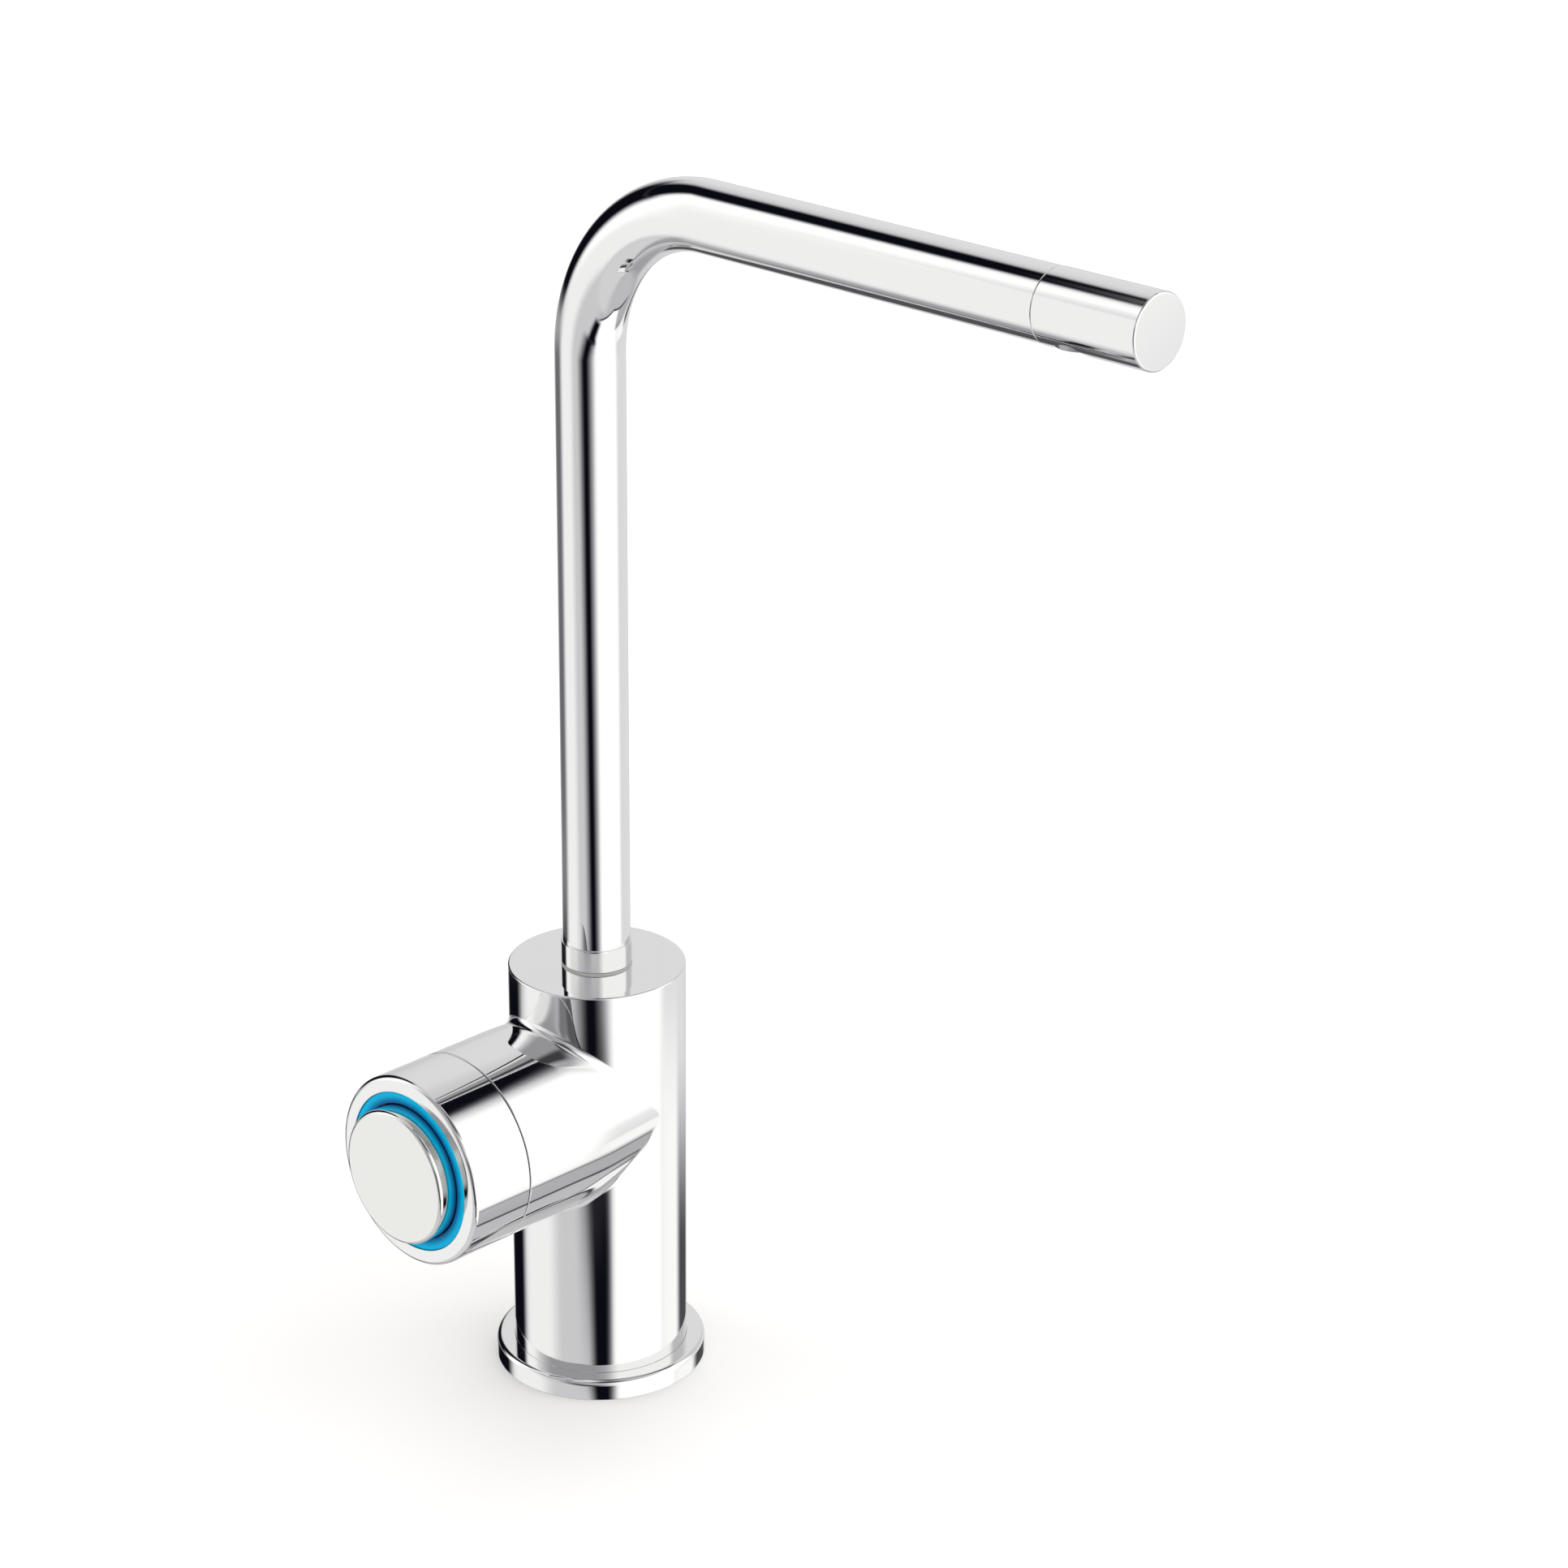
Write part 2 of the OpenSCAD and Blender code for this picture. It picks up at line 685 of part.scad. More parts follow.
// The return spring: a wire swept round the spindle's end, with its ends closed up flat
module button_spring() {
    sides = 6;
    steps = 16 * spring_turns;
    wire = spring_wire / 2;
    low = spring_seat_u + wire + slip;
    rise = spring_front_u - spring_seat_u - spring_wire - 2 * slip;
    mid = spring_r + wire;
    points = [
        for (i = [0 : steps], k = [0 : sides - 1])
            let (turn = 360 * spring_turns * i / steps, a = 360 * k / sides)
            [(mid + wire * cos(a)) * cos(turn), (mid + wire * cos(a)) * sin(turn),
             low + rise * i / steps + wire * sin(a)]
    ];
    walls = [
        for (i = [0 : steps - 1], k = [0 : sides - 1])
            let (a = i * sides + k, b = i * sides + (k + 1) % sides)
            for (tri = [[a, b, b + sides], [a, b + sides, a + sides]]) tri
    ];
    caps = [
        for (k = [1 : sides - 2]) for (tri = [
            [0, k + 1, k],
            [steps * sides, steps * sides + k, steps * sides + k + 1]
        ]) tri
    ];
    color("lightsteelblue") along_branch(0) polyhedron(points, concat(walls, caps));
}

base_flange();
base_gasket();
body_casting();
threaded_shank();
rubber_washer();
clamp_washer();
fixing_nut();
glide_washer();
spout_collar();
spout_tube();
spout_foot();
spout_seals();
spout_lock_screw();
outlet_cap();
aerator_housing();
aerator_washer();
aerator_insert();
cartridge_base();
seat_seals();
fixed_ceramic_disc();
moving_ceramic_disc();
cartridge_body();
valve_spindle();
spindle_seal();
cartridge_nut();
knob_sleeve();
knob_nut();
marker_ring();
push_button();
button_stem();
button_spring();
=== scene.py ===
# %% [markdown]
# # A chromed filter faucet, dressed around its CAD model
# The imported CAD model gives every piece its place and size. This lesson models the outer
# pieces once more, with the finer edges that polished metal needs, and gives every piece a
# material that is named for what it is made of. A mirror finish shows each facet and each
# kink, so most of the work is in clean surfaces and true shading normals.

# %% Load the frame
import json
from math import atan2, cos, pi, radians, sin, sqrt

import bmesh
import bpy
from mathutils import Matrix, Vector

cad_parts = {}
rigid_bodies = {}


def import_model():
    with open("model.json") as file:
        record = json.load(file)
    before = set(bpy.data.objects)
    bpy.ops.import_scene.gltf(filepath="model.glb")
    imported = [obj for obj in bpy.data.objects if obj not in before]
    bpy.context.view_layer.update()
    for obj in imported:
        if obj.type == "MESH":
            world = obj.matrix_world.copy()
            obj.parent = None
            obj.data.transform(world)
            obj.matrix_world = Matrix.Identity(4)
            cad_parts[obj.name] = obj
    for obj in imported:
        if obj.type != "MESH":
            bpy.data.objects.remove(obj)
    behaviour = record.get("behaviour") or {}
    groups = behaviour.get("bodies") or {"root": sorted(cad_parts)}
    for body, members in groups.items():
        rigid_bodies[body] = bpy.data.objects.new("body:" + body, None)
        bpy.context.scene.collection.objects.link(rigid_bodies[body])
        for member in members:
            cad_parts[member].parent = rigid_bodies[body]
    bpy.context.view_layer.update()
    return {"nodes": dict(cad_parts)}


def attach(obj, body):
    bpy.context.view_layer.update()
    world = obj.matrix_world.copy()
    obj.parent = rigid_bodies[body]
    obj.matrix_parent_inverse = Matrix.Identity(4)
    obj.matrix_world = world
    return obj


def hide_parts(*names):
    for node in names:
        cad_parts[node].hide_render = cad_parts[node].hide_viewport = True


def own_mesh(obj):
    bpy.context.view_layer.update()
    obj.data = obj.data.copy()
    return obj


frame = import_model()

MM = 0.001


# %% [markdown]
# ## The four axes
# A faucet is turned and bored along a few straight lines: the upright body, the side
# branch with its knob, the arm of the spout and the small outlet under its end. Each
# piece is drawn along one of them, so a length in this file is the length that a maker
# would read on the drawing, and no piece has to be moved into place afterwards.

# %% Axes of the faucet, in millimetres
class Axis:
    """A line through a point, with the direction that counts as outwards at the start."""

    def __init__(self, point, along, out):
        self.point, self.along, self.out = Vector(point), Vector(along), Vector(out)

    def at(self, distance, radius=0.0):
        """A place in metres, from its distance along the axis and its radius in mm."""
        return (self.point + self.along * distance + self.out * radius) * MM

    def arm(self, place):
        """The way from the axis straight out to a place, both in metres."""
        arm = place - self.point * MM
        return arm - self.along * arm.dot(self.along)

    def outward(self, place):
        return self.arm(place).normalized()

    def radius_of(self, place):
        return self.arm(place).length / MM


BRANCH_Z = 84.5
ARM_Z = 346.6
OUTLET_Y = 168.4
body_axis = Axis((0, 0, 0), (0, 0, 1), (1, 0, 0))
branch_axis = Axis((0, 0, BRANCH_Z), (-1, 0, 0), (0, 0, 1))
arm_axis = Axis((0, 0, ARM_Z), (0, -1, 0), (0, 0, 1))
outlet_axis = Axis((0, -OUTLET_Y, 0), (0, 0, 1), (1, 0, 0))
print("branch at height", BRANCH_Z, "arm at height", ARM_Z, "outlet at reach", OUTLET_Y)


# %% [markdown]
# ## Selecting and naming
# An operator acts on all that is selected, and loading the frame leaves its pieces
# selected. So each step starts from an empty selection, and a new piece gets its name at
# once, because the prints go by it. Its object stays at the origin, unturned, so that
# patterns and the frame's bodies find it where the drawing does.

# %% Select nothing, or one piece
def fresh_start():
    """Leaves edit mode and deselects everything."""
    if bpy.context.object and bpy.context.object.mode != "OBJECT":
        bpy.ops.object.mode_set(mode="OBJECT")
    bpy.ops.object.select_all(action="DESELECT")


def select_only(piece):
    fresh_start()
    piece.select_set(True)
    bpy.context.view_layer.objects.active = piece


def newest(name):
    """The object that was just added, with its name, and with its place in its mesh."""
    piece = bpy.context.object
    piece.name = piece.data.name = name
    bpy.ops.object.transform_apply(location=True, rotation=True, scale=True)
    return piece


fresh_start()
print("pieces selected:", sum(piece.select_get() for piece in bpy.context.scene.objects))


# %% [markdown]
# ## Turning a piece
# Nearly every piece of a faucet comes off a lathe, and Blender's lathe is Spin. One point
# is extruded along the outline of the piece's section, and the outline is spun all the
# way round. A cylinder primitive with bevels would need a new selection for each step of
# the outline, so the spun outline is both truer to the real making and quicker.

# %% Draw an outline
def arc(distance, radius, size, start, end, count):
    """Points on a rounded edge round (distance, radius), from one angle to another."""
    angles = [radians(start + (end - start) * i / count) for i in range(count + 1)]
    return [(distance + size * cos(a), radius + size * sin(a)) for a in angles]


def merge(distance=MM / 1000):
    """Makes points one that are closer than a distance, in edit mode."""
    bpy.ops.mesh.select_all(action="SELECT")
    bpy.ops.mesh.remove_doubles(threshold=distance)


def drawn(name, places):
    """Extrudes one point along a closed outline, and leaves it in edit mode."""
    fresh_start()
    bpy.ops.mesh.primitive_plane_add(size=MM)
    piece = newest(name)
    bpy.ops.object.mode_set(mode="EDIT")
    bpy.ops.mesh.merge(type="CENTER")
    bpy.ops.transform.translate(value=places[0])
    for here, there in zip(places, places[1:] + places[:1]):
        bpy.ops.mesh.extrude_region_move(TRANSFORM_OT_translate={"value": there - here})
    merge()
    return piece


quarter = arc(0, 0, 1.0, 0, 90, 2)
print("a 1 mm edge in two steps:", [(round(u, 2), round(r, 2)) for u, r in quarter])


# %% The lathe
def face_outwards():
    """Turns the faces of the mesh in edit mode outwards."""
    bpy.ops.mesh.select_all(action="SELECT")
    bpy.ops.mesh.normals_make_consistent(inside=False)


def turned(name, axis, outline, steps=192):
    """Spins a closed outline of (distance, radius) points, in mm, round an axis."""
    piece = drawn(name, [axis.at(*point) for point in outline])
    bpy.ops.mesh.select_all(action="SELECT")
    bpy.ops.mesh.spin(steps=steps, angle=2 * pi, center=axis.at(0), axis=axis.along)
    merge()
    face_outwards()
    bpy.ops.mesh.delete_loose(use_verts=True, use_edges=True, use_faces=False)
    bpy.ops.object.mode_set(mode="OBJECT")
    return piece


print("lathe ready")


# %% [markdown]
# ## Cutting one shape with another
# Bores, slots and keyways are cut with the Boolean modifier, as a drill or a milling
# cutter would. The cutter is a piece of its own, turned like any other, and it is thrown
# away after the cut. The exact solver copes with faces that share an edge.

# %% The drill
def cut(piece, tool, how="DIFFERENCE"):
    """Cuts a tool's shape away, or joins the two, or keeps only what they share."""
    select_only(piece)
    step = piece.modifiers.new("cut", "BOOLEAN")
    step.operation, step.object, step.solver = how, tool, "EXACT"
    bpy.ops.object.modifier_apply(modifier=step.name)
    bpy.data.objects.remove(tool)
    return piece


def bore(piece, axis, start, end, radius, steps=96):
    """Cuts a plain round hole along an axis."""
    rod = [(start, 0), (end, 0), (end, radius), (start, radius)]
    return cut(piece, turned("drill", axis, rod, steps))


print("drill ready")


# %% [markdown]
# ## True shading on polished walls
# A mirror shows the shading normals, not the faces. Two things spoil them: a narrow
# rounding beside a wide flat face bends the flat's normals, and the long thin faces that
# a Boolean leaves carry a small error along their whole length. Weighted Normal cures the
# first. For the second, every face corner that lies on a known round wall is given the
# exact normal of that wall.

# %% Smooth and weight the normals
HAIRLINE = MM / 5000  # cuts leave points this close together
SHARP = 30            # corners over so many degrees stay crisp


def smooth(piece):
    select_only(piece)
    bpy.ops.object.mode_set(mode="EDIT")
    merge(HAIRLINE)
    bpy.ops.object.mode_set(mode="OBJECT")
    bpy.ops.object.shade_smooth_by_angle(angle=radians(SHARP))
    step = piece.modifiers.new("weight", "WEIGHTED_NORMAL")
    step.keep_sharp, step.weight = True, 60
    bpy.ops.object.modifier_apply(modifier=step.name)
    return piece


print("edges stay crisp over", SHARP, "degrees")


# %% Correct the normals of a wall
def round_wall(axis, radius):
    """Tells a plain round wall's exact normal at a place, or None off the wall."""
    def wall(place):
        return axis.outward(place) if abs(axis.radius_of(place) - radius) < 0.03 else None
    return wall


def true_wall(piece, wall, agree=0.98):
    """Gives face corners the wall's normal where their face points nearly that way."""
    mesh = piece.data
    normals = [corner.vector.copy() for corner in mesh.corner_normals]
    corrected = 0
    for face in mesh.polygons:
        for corner in face.loop_indices:
            exact = wall(mesh.vertices[mesh.loops[corner].vertex_index].co)
            if exact is not None and exact.dot(face.normal) > agree:
                normals[corner] = exact
                corrected += 1
    mesh.normals_split_custom_set(normals)
    print(piece.name, "corners corrected:", corrected, "of", len(normals))


print("a corner 10 mm off an axis points", tuple(round_wall(body_axis, 10)(Vector((10 * MM, 0, 0)))))


# %% [markdown]
# ## Where the pieces belong
# A new piece rides on a body of the frame, stands in for a CAD node, which is hidden, and
# takes the material that it is given. One call settles all of these.

# %% Settle a piece
def report(piece):
    low = [min(v.co[i] for v in piece.data.vertices) / MM for i in range(3)]
    high = [max(v.co[i] for v in piece.data.vertices) / MM for i in range(3)]
    print(piece.name, "faces", len(piece.data.polygons), "box",
          [round(x, 2) for x in low], [round(x, 2) for x in high])


def settle(piece, node, body, material):
    piece.data.materials.clear()
    piece.data.materials.append(material)
    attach(piece, body)
    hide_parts(node)
    report(piece)


# %% [markdown]
# ## Building materials
# A material is a small net of nodes. One function adds a node with its settings and its
# links, and another turns the sRGB hex colours of a paint chart into the linear values
# that Blender works with. Patterns are measured in millimetres: a noise of scale s on
# Object coordinates, which are metres, repeats about every 1 / s metres.

# %% Colours and pattern sizes
def colour(hex_code):
    channels = [int(hex_code[i:i + 2], 16) / 255 for i in (1, 3, 5)]
    linear = [c / 12.92 if c <= 0.04045 else ((c + 0.055) / 1.055) ** 2.4 for c in channels]
    return (*linear, 1.0)


def every(spacing):
    """The texture scale at which a pattern repeats about once in so many millimetres."""
    return 1 / (spacing * MM)


print("mid grey #808080 is", round(colour("#808080")[0], 3), "in linear light")


# %% Add a node
def socket(node, key):
    """An input by its number, or the one in use of that name."""
    if isinstance(key, int):
        return node.inputs[key]
    return next(s for s in node.inputs if s.enabled and s.name == key)


def output(node):
    """The first output in use, because a Mix node keeps one for each type of data."""
    return next(s for s in node.outputs if s.enabled)


def add_node(tree, kind, settings=None, links=None):
    """Adds a shader node, sets its properties and inputs, and links inputs from other nodes."""
    node = tree.nodes.new("ShaderNode" + kind)
    for key, value in (settings or {}).items():
        if isinstance(key, str) and hasattr(node, key):
            setattr(node, key, value)
        else:
            socket(node, key).default_value = value
    for key, source in (links or {}).items():
        if isinstance(source, bpy.types.Node):
            source = output(source)
        tree.links.new(source, socket(node, key))
    return node


def new_material(name):
    """An empty node material, with its tree and the coordinates that patterns read."""
    material = bpy.data.materials.new(name)
    material.use_nodes = True
    tree = material.node_tree
    tree.nodes.clear()
    return material, tree, add_node(tree, "TexCoord").outputs["Object"]


print("a pattern of 20 mm has scale", every(20))

# %% [markdown]
# ## Polished chrome
# Brass castings and tubes are ground, buffed and plated with nickel and a very thin layer
# of chromium. Chromium is a slightly blue, slightly dark mirror. What gives it away as
# real is how little its gloss varies: a faint haze where hands and cloths have been, and
# a trace of the buffing wheel in the brass below, a few micrometres deep over many
# millimetres. Two noises give these. A clear coat over a base would put a second, weaker
# mirror on top, which plated metal doesn't have.

# %% Chrome over polished brass
def chrome(name, tint, haze, wave_depth):
    """A mirror whose roughness drifts between two values, over very shallow waves."""
    material, tree, where = new_material(name)
    smear = add_node(tree, "TexNoise", {"Scale": every(14), "Detail": 3.0}, {"Vector": where})
    rough = add_node(tree, "MapRange", {"From Min": 0.3, "From Max": 0.7,
                     "To Min": haze[0], "To Max": haze[1]}, {"Value": smear})
    waves = add_node(tree, "TexNoise", {"Scale": every(22), "Detail": 0.0}, {"Vector": where})
    bump = add_node(tree, "Bump", {"Distance": wave_depth * MM}, {"Height": waves})
    shader = add_node(tree, "BsdfPrincipled", {"Base Color": colour(tint), "Metallic": 1.0},
                      {"Roughness": rough, "Normal": bump})
    add_node(tree, "OutputMaterial", links={"Surface": shader})
    return material


chrome_on_brass = chrome("chrome_plated_brass", "#E9E9E9", (0.028, 0.050), 0.006)
chrome_on_tube = chrome("chrome_plated_tube", "#E9E9E9", (0.022, 0.042), 0.004)
chrome_on_plastic = chrome("chrome_plated_abs", "#E5E6E3", (0.045, 0.075), 0.010)
# Painted reflection: the aerator's satin chrome is tinted far darker than plating is, for the dark that its
# ring mirrors under the spout.
satin_chrome_painted_dark = chrome("satin_chrome_plated_brass_painted_dark", "#A4A4A7", (0.10, 0.16), 0.004)
for finish in (chrome_on_brass, chrome_on_tube, chrome_on_plastic, satin_chrome_painted_dark):
    print("chrome:", finish.name, "with", len(finish.node_tree.nodes), "nodes")

# %% [markdown]
# ## Turned brass
# The pieces inside the body and below the worktop are left as they come from the lathe.
# Turned brass keeps the fine rings of the tool, and it tarnishes in soft brown patches.
# The rings are a noise that is squeezed flat along the piece's axis: a Wave texture would
# lay them too evenly.

# %% Brass with the rings of the lathe tool
TOOL_STEP = 0.5
GRAIN_LENGTH = 40


def turned_brass(name, axis_scale):
    material, tree, where = new_material(name)
    squeezed = add_node(tree, "Mapping", {"Scale": axis_scale}, {"Vector": where})
    rings = add_node(tree, "TexNoise", {"Scale": 1.0, "Detail": 4.0}, {"Vector": squeezed})
    stain = add_node(tree, "TexNoise", {"Scale": every(18), "Detail": 3.0}, {"Vector": where})
    tint = add_node(tree, "Mix", {"data_type": "RGBA", "A": colour("#C6A05A"),
                    "B": colour("#A8823F")}, {"Factor": stain})
    rough = add_node(tree, "MapRange", {"To Min": 0.16, "To Max": 0.42}, {"Value": rings})
    bump = add_node(tree, "Bump", {"Distance": 0.02 * MM}, {"Height": rings})
    shader = add_node(tree, "BsdfPrincipled", {"Metallic": 1.0},
                      {"Base Color": tint, "Roughness": rough, "Normal": bump})
    add_node(tree, "OutputMaterial", links={"Surface": shader})
    return material


across, along = every(GRAIN_LENGTH), every(TOOL_STEP)
brass_upright = turned_brass("turned_brass_upright", (across, across, along))
brass_sideways = turned_brass("turned_brass_sideways", (along, across, across))
print("tool rings about every", TOOL_STEP, "mm, drawn coarser than the real 0.1 mm so that they show")

# %% [markdown]
# ## Steel, rubber, acetal and ceramic
# Steel washers are tumbled to a grey satin. Rubber is matt, with paler patches where the
# mould's gloss is gone. Acetal is a waxy white with a soft sheen. The glide washer's acetal
# is painted grey instead: painted shade, for the crevice under the collar where it sits.
# The ceramic discs are lapped to an even finish. All of them are one recipe: two near
# colours that drift over some millimetres, a gloss that drifts too, and a fine grain. One
# colour alone would make them look painted.

# %% One recipe for the plain finishes
def drifting(name, tints, spacing, gloss, grain_depth, metallic=0.0):
    material, tree, where = new_material(name)
    drift = add_node(tree, "TexNoise", {"Scale": every(spacing), "Detail": 3.0}, {"Vector": where})
    tint = add_node(tree, "Mix", {"data_type": "RGBA", "A": colour(tints[0]),
                    "B": colour(tints[1])}, {"Factor": drift})
    grain = add_node(tree, "TexNoise", {"Scale": every(spacing / 8), "Detail": 4.0}, {"Vector": where})
    rough = add_node(tree, "MapRange", {"From Min": 0.3, "From Max": 0.7,
                     "To Min": gloss[0], "To Max": gloss[1]}, {"Value": grain})
    bump = add_node(tree, "Bump", {"Distance": grain_depth * MM}, {"Height": grain})
    shader = add_node(tree, "BsdfPrincipled", {"Metallic": metallic},
                      {"Base Color": tint, "Roughness": rough, "Normal": bump})
    add_node(tree, "OutputMaterial", links={"Surface": shader})
    return material


steel = drifting("tumbled_stainless_steel", ("#A9ABAE", "#989A9E"), 6, (0.26, 0.40), 0.008, 1.0)
rubber = drifting("nitrile_rubber", ("#151515", "#232322"), 4, (0.50, 0.75), 0.02)
acetal = drifting("moulded_acetal", ("#EDECE6", "#E3E2DA"), 9, (0.36, 0.48), 0.004)
# Painted shade: the glide washer's acetal is greyed for the crevice under the collar that it sits in.
acetal_painted_shade = drifting("acetal_with_painted_shade", ("#C4C4C0", "#B8B8B4"), 5, (0.40, 0.55), 0.004)
ceramic = drifting("lapped_alumina", ("#F0EDE2", "#E7E3D6"), 5, (0.15, 0.24), 0.002)
for finish in (steel, rubber, acetal, acetal_painted_shade, ceramic):
    print("plain finish:", finish.name)

# %% [markdown]
# ## The body's upright
# The upright is a plain cylinder with a narrow bevel round its flat top. It is turned
# first, and the branch is joined to it afterwards, as a pattern maker would glue up the
# two halves of a casting pattern.

# %% Turn the upright
BODY_R = 25.0
BODY_LOW = 3.0
BODY_TOP = 124.5
TOP_BEVEL = 0.5
upright = turned("body", body_axis, [
    (BODY_LOW, 0), (BODY_LOW, BODY_R), (BODY_TOP - TOP_BEVEL, BODY_R),
    *arc(BODY_TOP - TOP_BEVEL, BODY_R - TOP_BEVEL, TOP_BEVEL, 90, 0, 4), (BODY_TOP, 0),
], steps=256)
report(upright)

# %% [markdown]
# ## The branch and its fillet
# The branch is a little thicker than the upright and draws in to it, and a polished
# fillet softens the corner where the two meet. A bevel on the Boolean's edge would fold
# over itself, because the corner runs across hundreds of narrow faces. So the branch is
# built ring by ring instead, from its open end inwards. Each ring is extruded from the
# last one and its points are laid on the surface: first on the branch, then on a curve
# that leaves the branch along its own line and lands flat on the upright's wall.

# %% The branch's outline
BRANCH_R = 27.4
BRANCH_END = 51.2
EDGE = 0.3  # the small rounding on both sides of a parting line
BLEND = 25.0
SLOPE = (BRANCH_R - BODY_R) / BLEND
KINK = 6.0  # half the length over which the slope eases in


def branch_radius(u):
    """The branch's radius at a distance u from the upright's axis."""
    if u >= BLEND + KINK:
        return BRANCH_R
    if u >= BLEND - KINK:
        return BRANCH_R - SLOPE * (BLEND + KINK - u) ** 2 / (4 * KINK)
    return BODY_R + SLOPE * u


def on_branch(u, turn):
    """A point on the branch, as (distance along it, sideways, height above its axis)."""
    radius = branch_radius(u)
    return Vector((u, radius * cos(turn), radius * sin(turn)))


print("branch radius at 10, 25 and 40 mm:", [round(branch_radius(u), 2) for u in (10, 25, 40)])


# %% The corner line between branch and upright
def corner_distance(turn):
    """Where a line along the branch meets the wall of the upright, found by halving."""
    low, high = 0.0, BODY_R
    for _ in range(50):
        middle = (low + high) / 2
        point = on_branch(middle, turn)
        inside = point.x ** 2 + point.y ** 2 < BODY_R ** 2
        low, high = (middle, high) if inside else (low, middle)
    return (low + high) / 2


def unrolled(point):
    """A point on the upright's wall as (length round the wall, height)."""
    return Vector((BODY_R * atan2(point.y, point.x), point.z))


def on_upright(flat, depth=0.0):
    """The point that unrolled() gave, or one at a depth under the wall."""
    angle = flat.x / BODY_R
    return Vector(((BODY_R - depth) * cos(angle), (BODY_R - depth) * sin(angle), flat.y))


print("the corner lies", round(corner_distance(pi / 2), 2), "mm out at the top and",
      round(corner_distance(radians(30)), 2), "mm at 30 degrees")


# %% The way across the corner
def across_corner(turn):
    """On the unrolled wall: the corner's place, and the direction straight away from it."""
    step = 0.002
    before, here, after = (unrolled(on_branch(corner_distance(angle), angle))
                           for angle in (turn - step, turn, turn + step))
    away = Vector((after.y - before.y, before.x - after.x)).normalized()
    if away.dot(here) < 0:
        away.negate()
    return here, away


print("away from the corner at the top:", [round(x, 2) for x in across_corner(pi / 2)[1]])

# %% The fillet's section at one place
FILLET = 2.5        # its size above and below the branch
FILLET_LEAST = 1.0  # its size at the sides, where the two walls run into each other
FALL_OFF = 0.7
PULL = 0.6          # how far the curve's handles reach, as a share of its size
STRIPS = 10
SUNK = 0.015        # the fillet's end lies just under the wall, so that the union finds a crossing
ROOTED = 1.5        # the last ring lies well inside the upright
NUDGE = 0.01


def fillet_section(turn):
    """Points from the branch's wall to the upright's, and the last one inside the upright."""
    size = FILLET_LEAST + (FILLET - FILLET_LEAST) * abs(sin(turn)) ** FALL_OFF
    leaving = corner_distance(turn) + size
    start = on_branch(leaving, turn)
    inwards = (start - on_branch(leaving + NUDGE, turn)).normalized()
    here, away = across_corner(turn)
    flat = here + away * size
    end = on_upright(flat, SUNK)
    back = (on_upright(flat - away * NUDGE) - on_upright(flat)).normalized()
    handles = (start, start + inwards * size * PULL, end + back * size * PULL, end)
    points = []
    for i in range(STRIPS + 1):
        t = i / STRIPS
        shares = ((1 - t) ** 3, 3 * t * (1 - t) ** 2, 3 * t * t * (1 - t), t ** 3)
        points.append(sum((h * s for h, s in zip(handles, shares)), Vector((0, 0, 0))))
    return points + [on_upright(flat, ROOTED)]


top = fillet_section(pi / 2)
print("fillet at the top:", [tuple(round(x, 2) for x in point) for point in top[:-1:5]])

# %% Lay out the branch's rings
SIDES = 256
ROUND_FROM = 36.0  # from here outwards the branch is a plain cylinder
PLAIN_RINGS = 4
TAPER_RINGS = 9
plain = BRANCH_END - EDGE - ROUND_FROM
turns = [2 * pi * (i + 0.5) / SIDES for i in range(SIDES)]
sections = [fillet_section(turn) for turn in turns]
mouth = arc(BRANCH_END - EDGE, BRANCH_R - EDGE, EDGE, 0, 90, 4)
rings = [[Vector((u, r * cos(turn), r * sin(turn))) for turn in turns] for u, r in mouth]
for k in range(1, PLAIN_RINGS + 1):
    u = BRANCH_END - EDGE - plain * k / PLAIN_RINGS
    rings.append([on_branch(u, turn) for turn in turns])
for k in range(1, TAPER_RINGS):
    still = 1 - k / TAPER_RINGS
    ring = []
    for section, turn in zip(sections, turns):
        straight = section[0] + (on_branch(ROUND_FROM, turn) - section[0]) * still
        ring.append(on_branch(straight.x, turn))
    rings.append(ring)
rings += [[section[k] for section in sections] for k in range(STRIPS + 2)]
print("rings:", len(rings), "of", SIDES, "points")


# %% Extrude the branch ring by ring
def in_world(point):
    return Vector((-point.x, point.y, BRANCH_Z + point.z)) * MM


def lofted(name, rings):
    """Extrudes a circle from ring to ring, and closes both ends on a middle point."""
    fresh_start()
    bpy.ops.mesh.primitive_circle_add(vertices=len(rings[0]), radius=rings[0][0].length * MM)
    piece = newest(name)
    bpy.ops.object.mode_set(mode="EDIT")
    mesh = bmesh.from_edit_mesh(piece.data)
    place = mesh.verts.layers.int.new("place")
    in_turn = sorted(mesh.verts, key=lambda v: atan2(v.co.y, v.co.x) % (2 * pi))
    for number, vertex in enumerate(in_turn):
        vertex[place] = number
    for number, ring in enumerate(rings):
        if number:
            bpy.ops.mesh.extrude_edges_move()
        mesh = bmesh.from_edit_mesh(piece.data)
        place = mesh.verts.layers.int["place"]
        for vertex in mesh.verts:
            if vertex.select:
                vertex.co = in_world(ring[vertex[place]])
        bmesh.update_edit_mesh(piece.data)
    bpy.ops.mesh.extrude_edges_move()
    bpy.ops.mesh.merge(type="CENTER")
    bpy.ops.mesh.select_all(action="DESELECT")
    bpy.ops.mesh.select_non_manifold()
    bpy.ops.mesh.extrude_edges_move()
    bpy.ops.mesh.merge(type="CENTER")
    face_outwards()
    bpy.ops.object.mode_set(mode="OBJECT")
    return piece


branch = lofted("branch", rings)
report(branch)

# %% [markdown]
# ## Joining, boring and shading the casting
# The two halves are joined by a union, and the bores follow. One Boolean with all the
# drills at once would be quicker, but drills that cross each other confuse it. The walls
# are then given their exact normals, so that the union leaves no streak in the mirror.

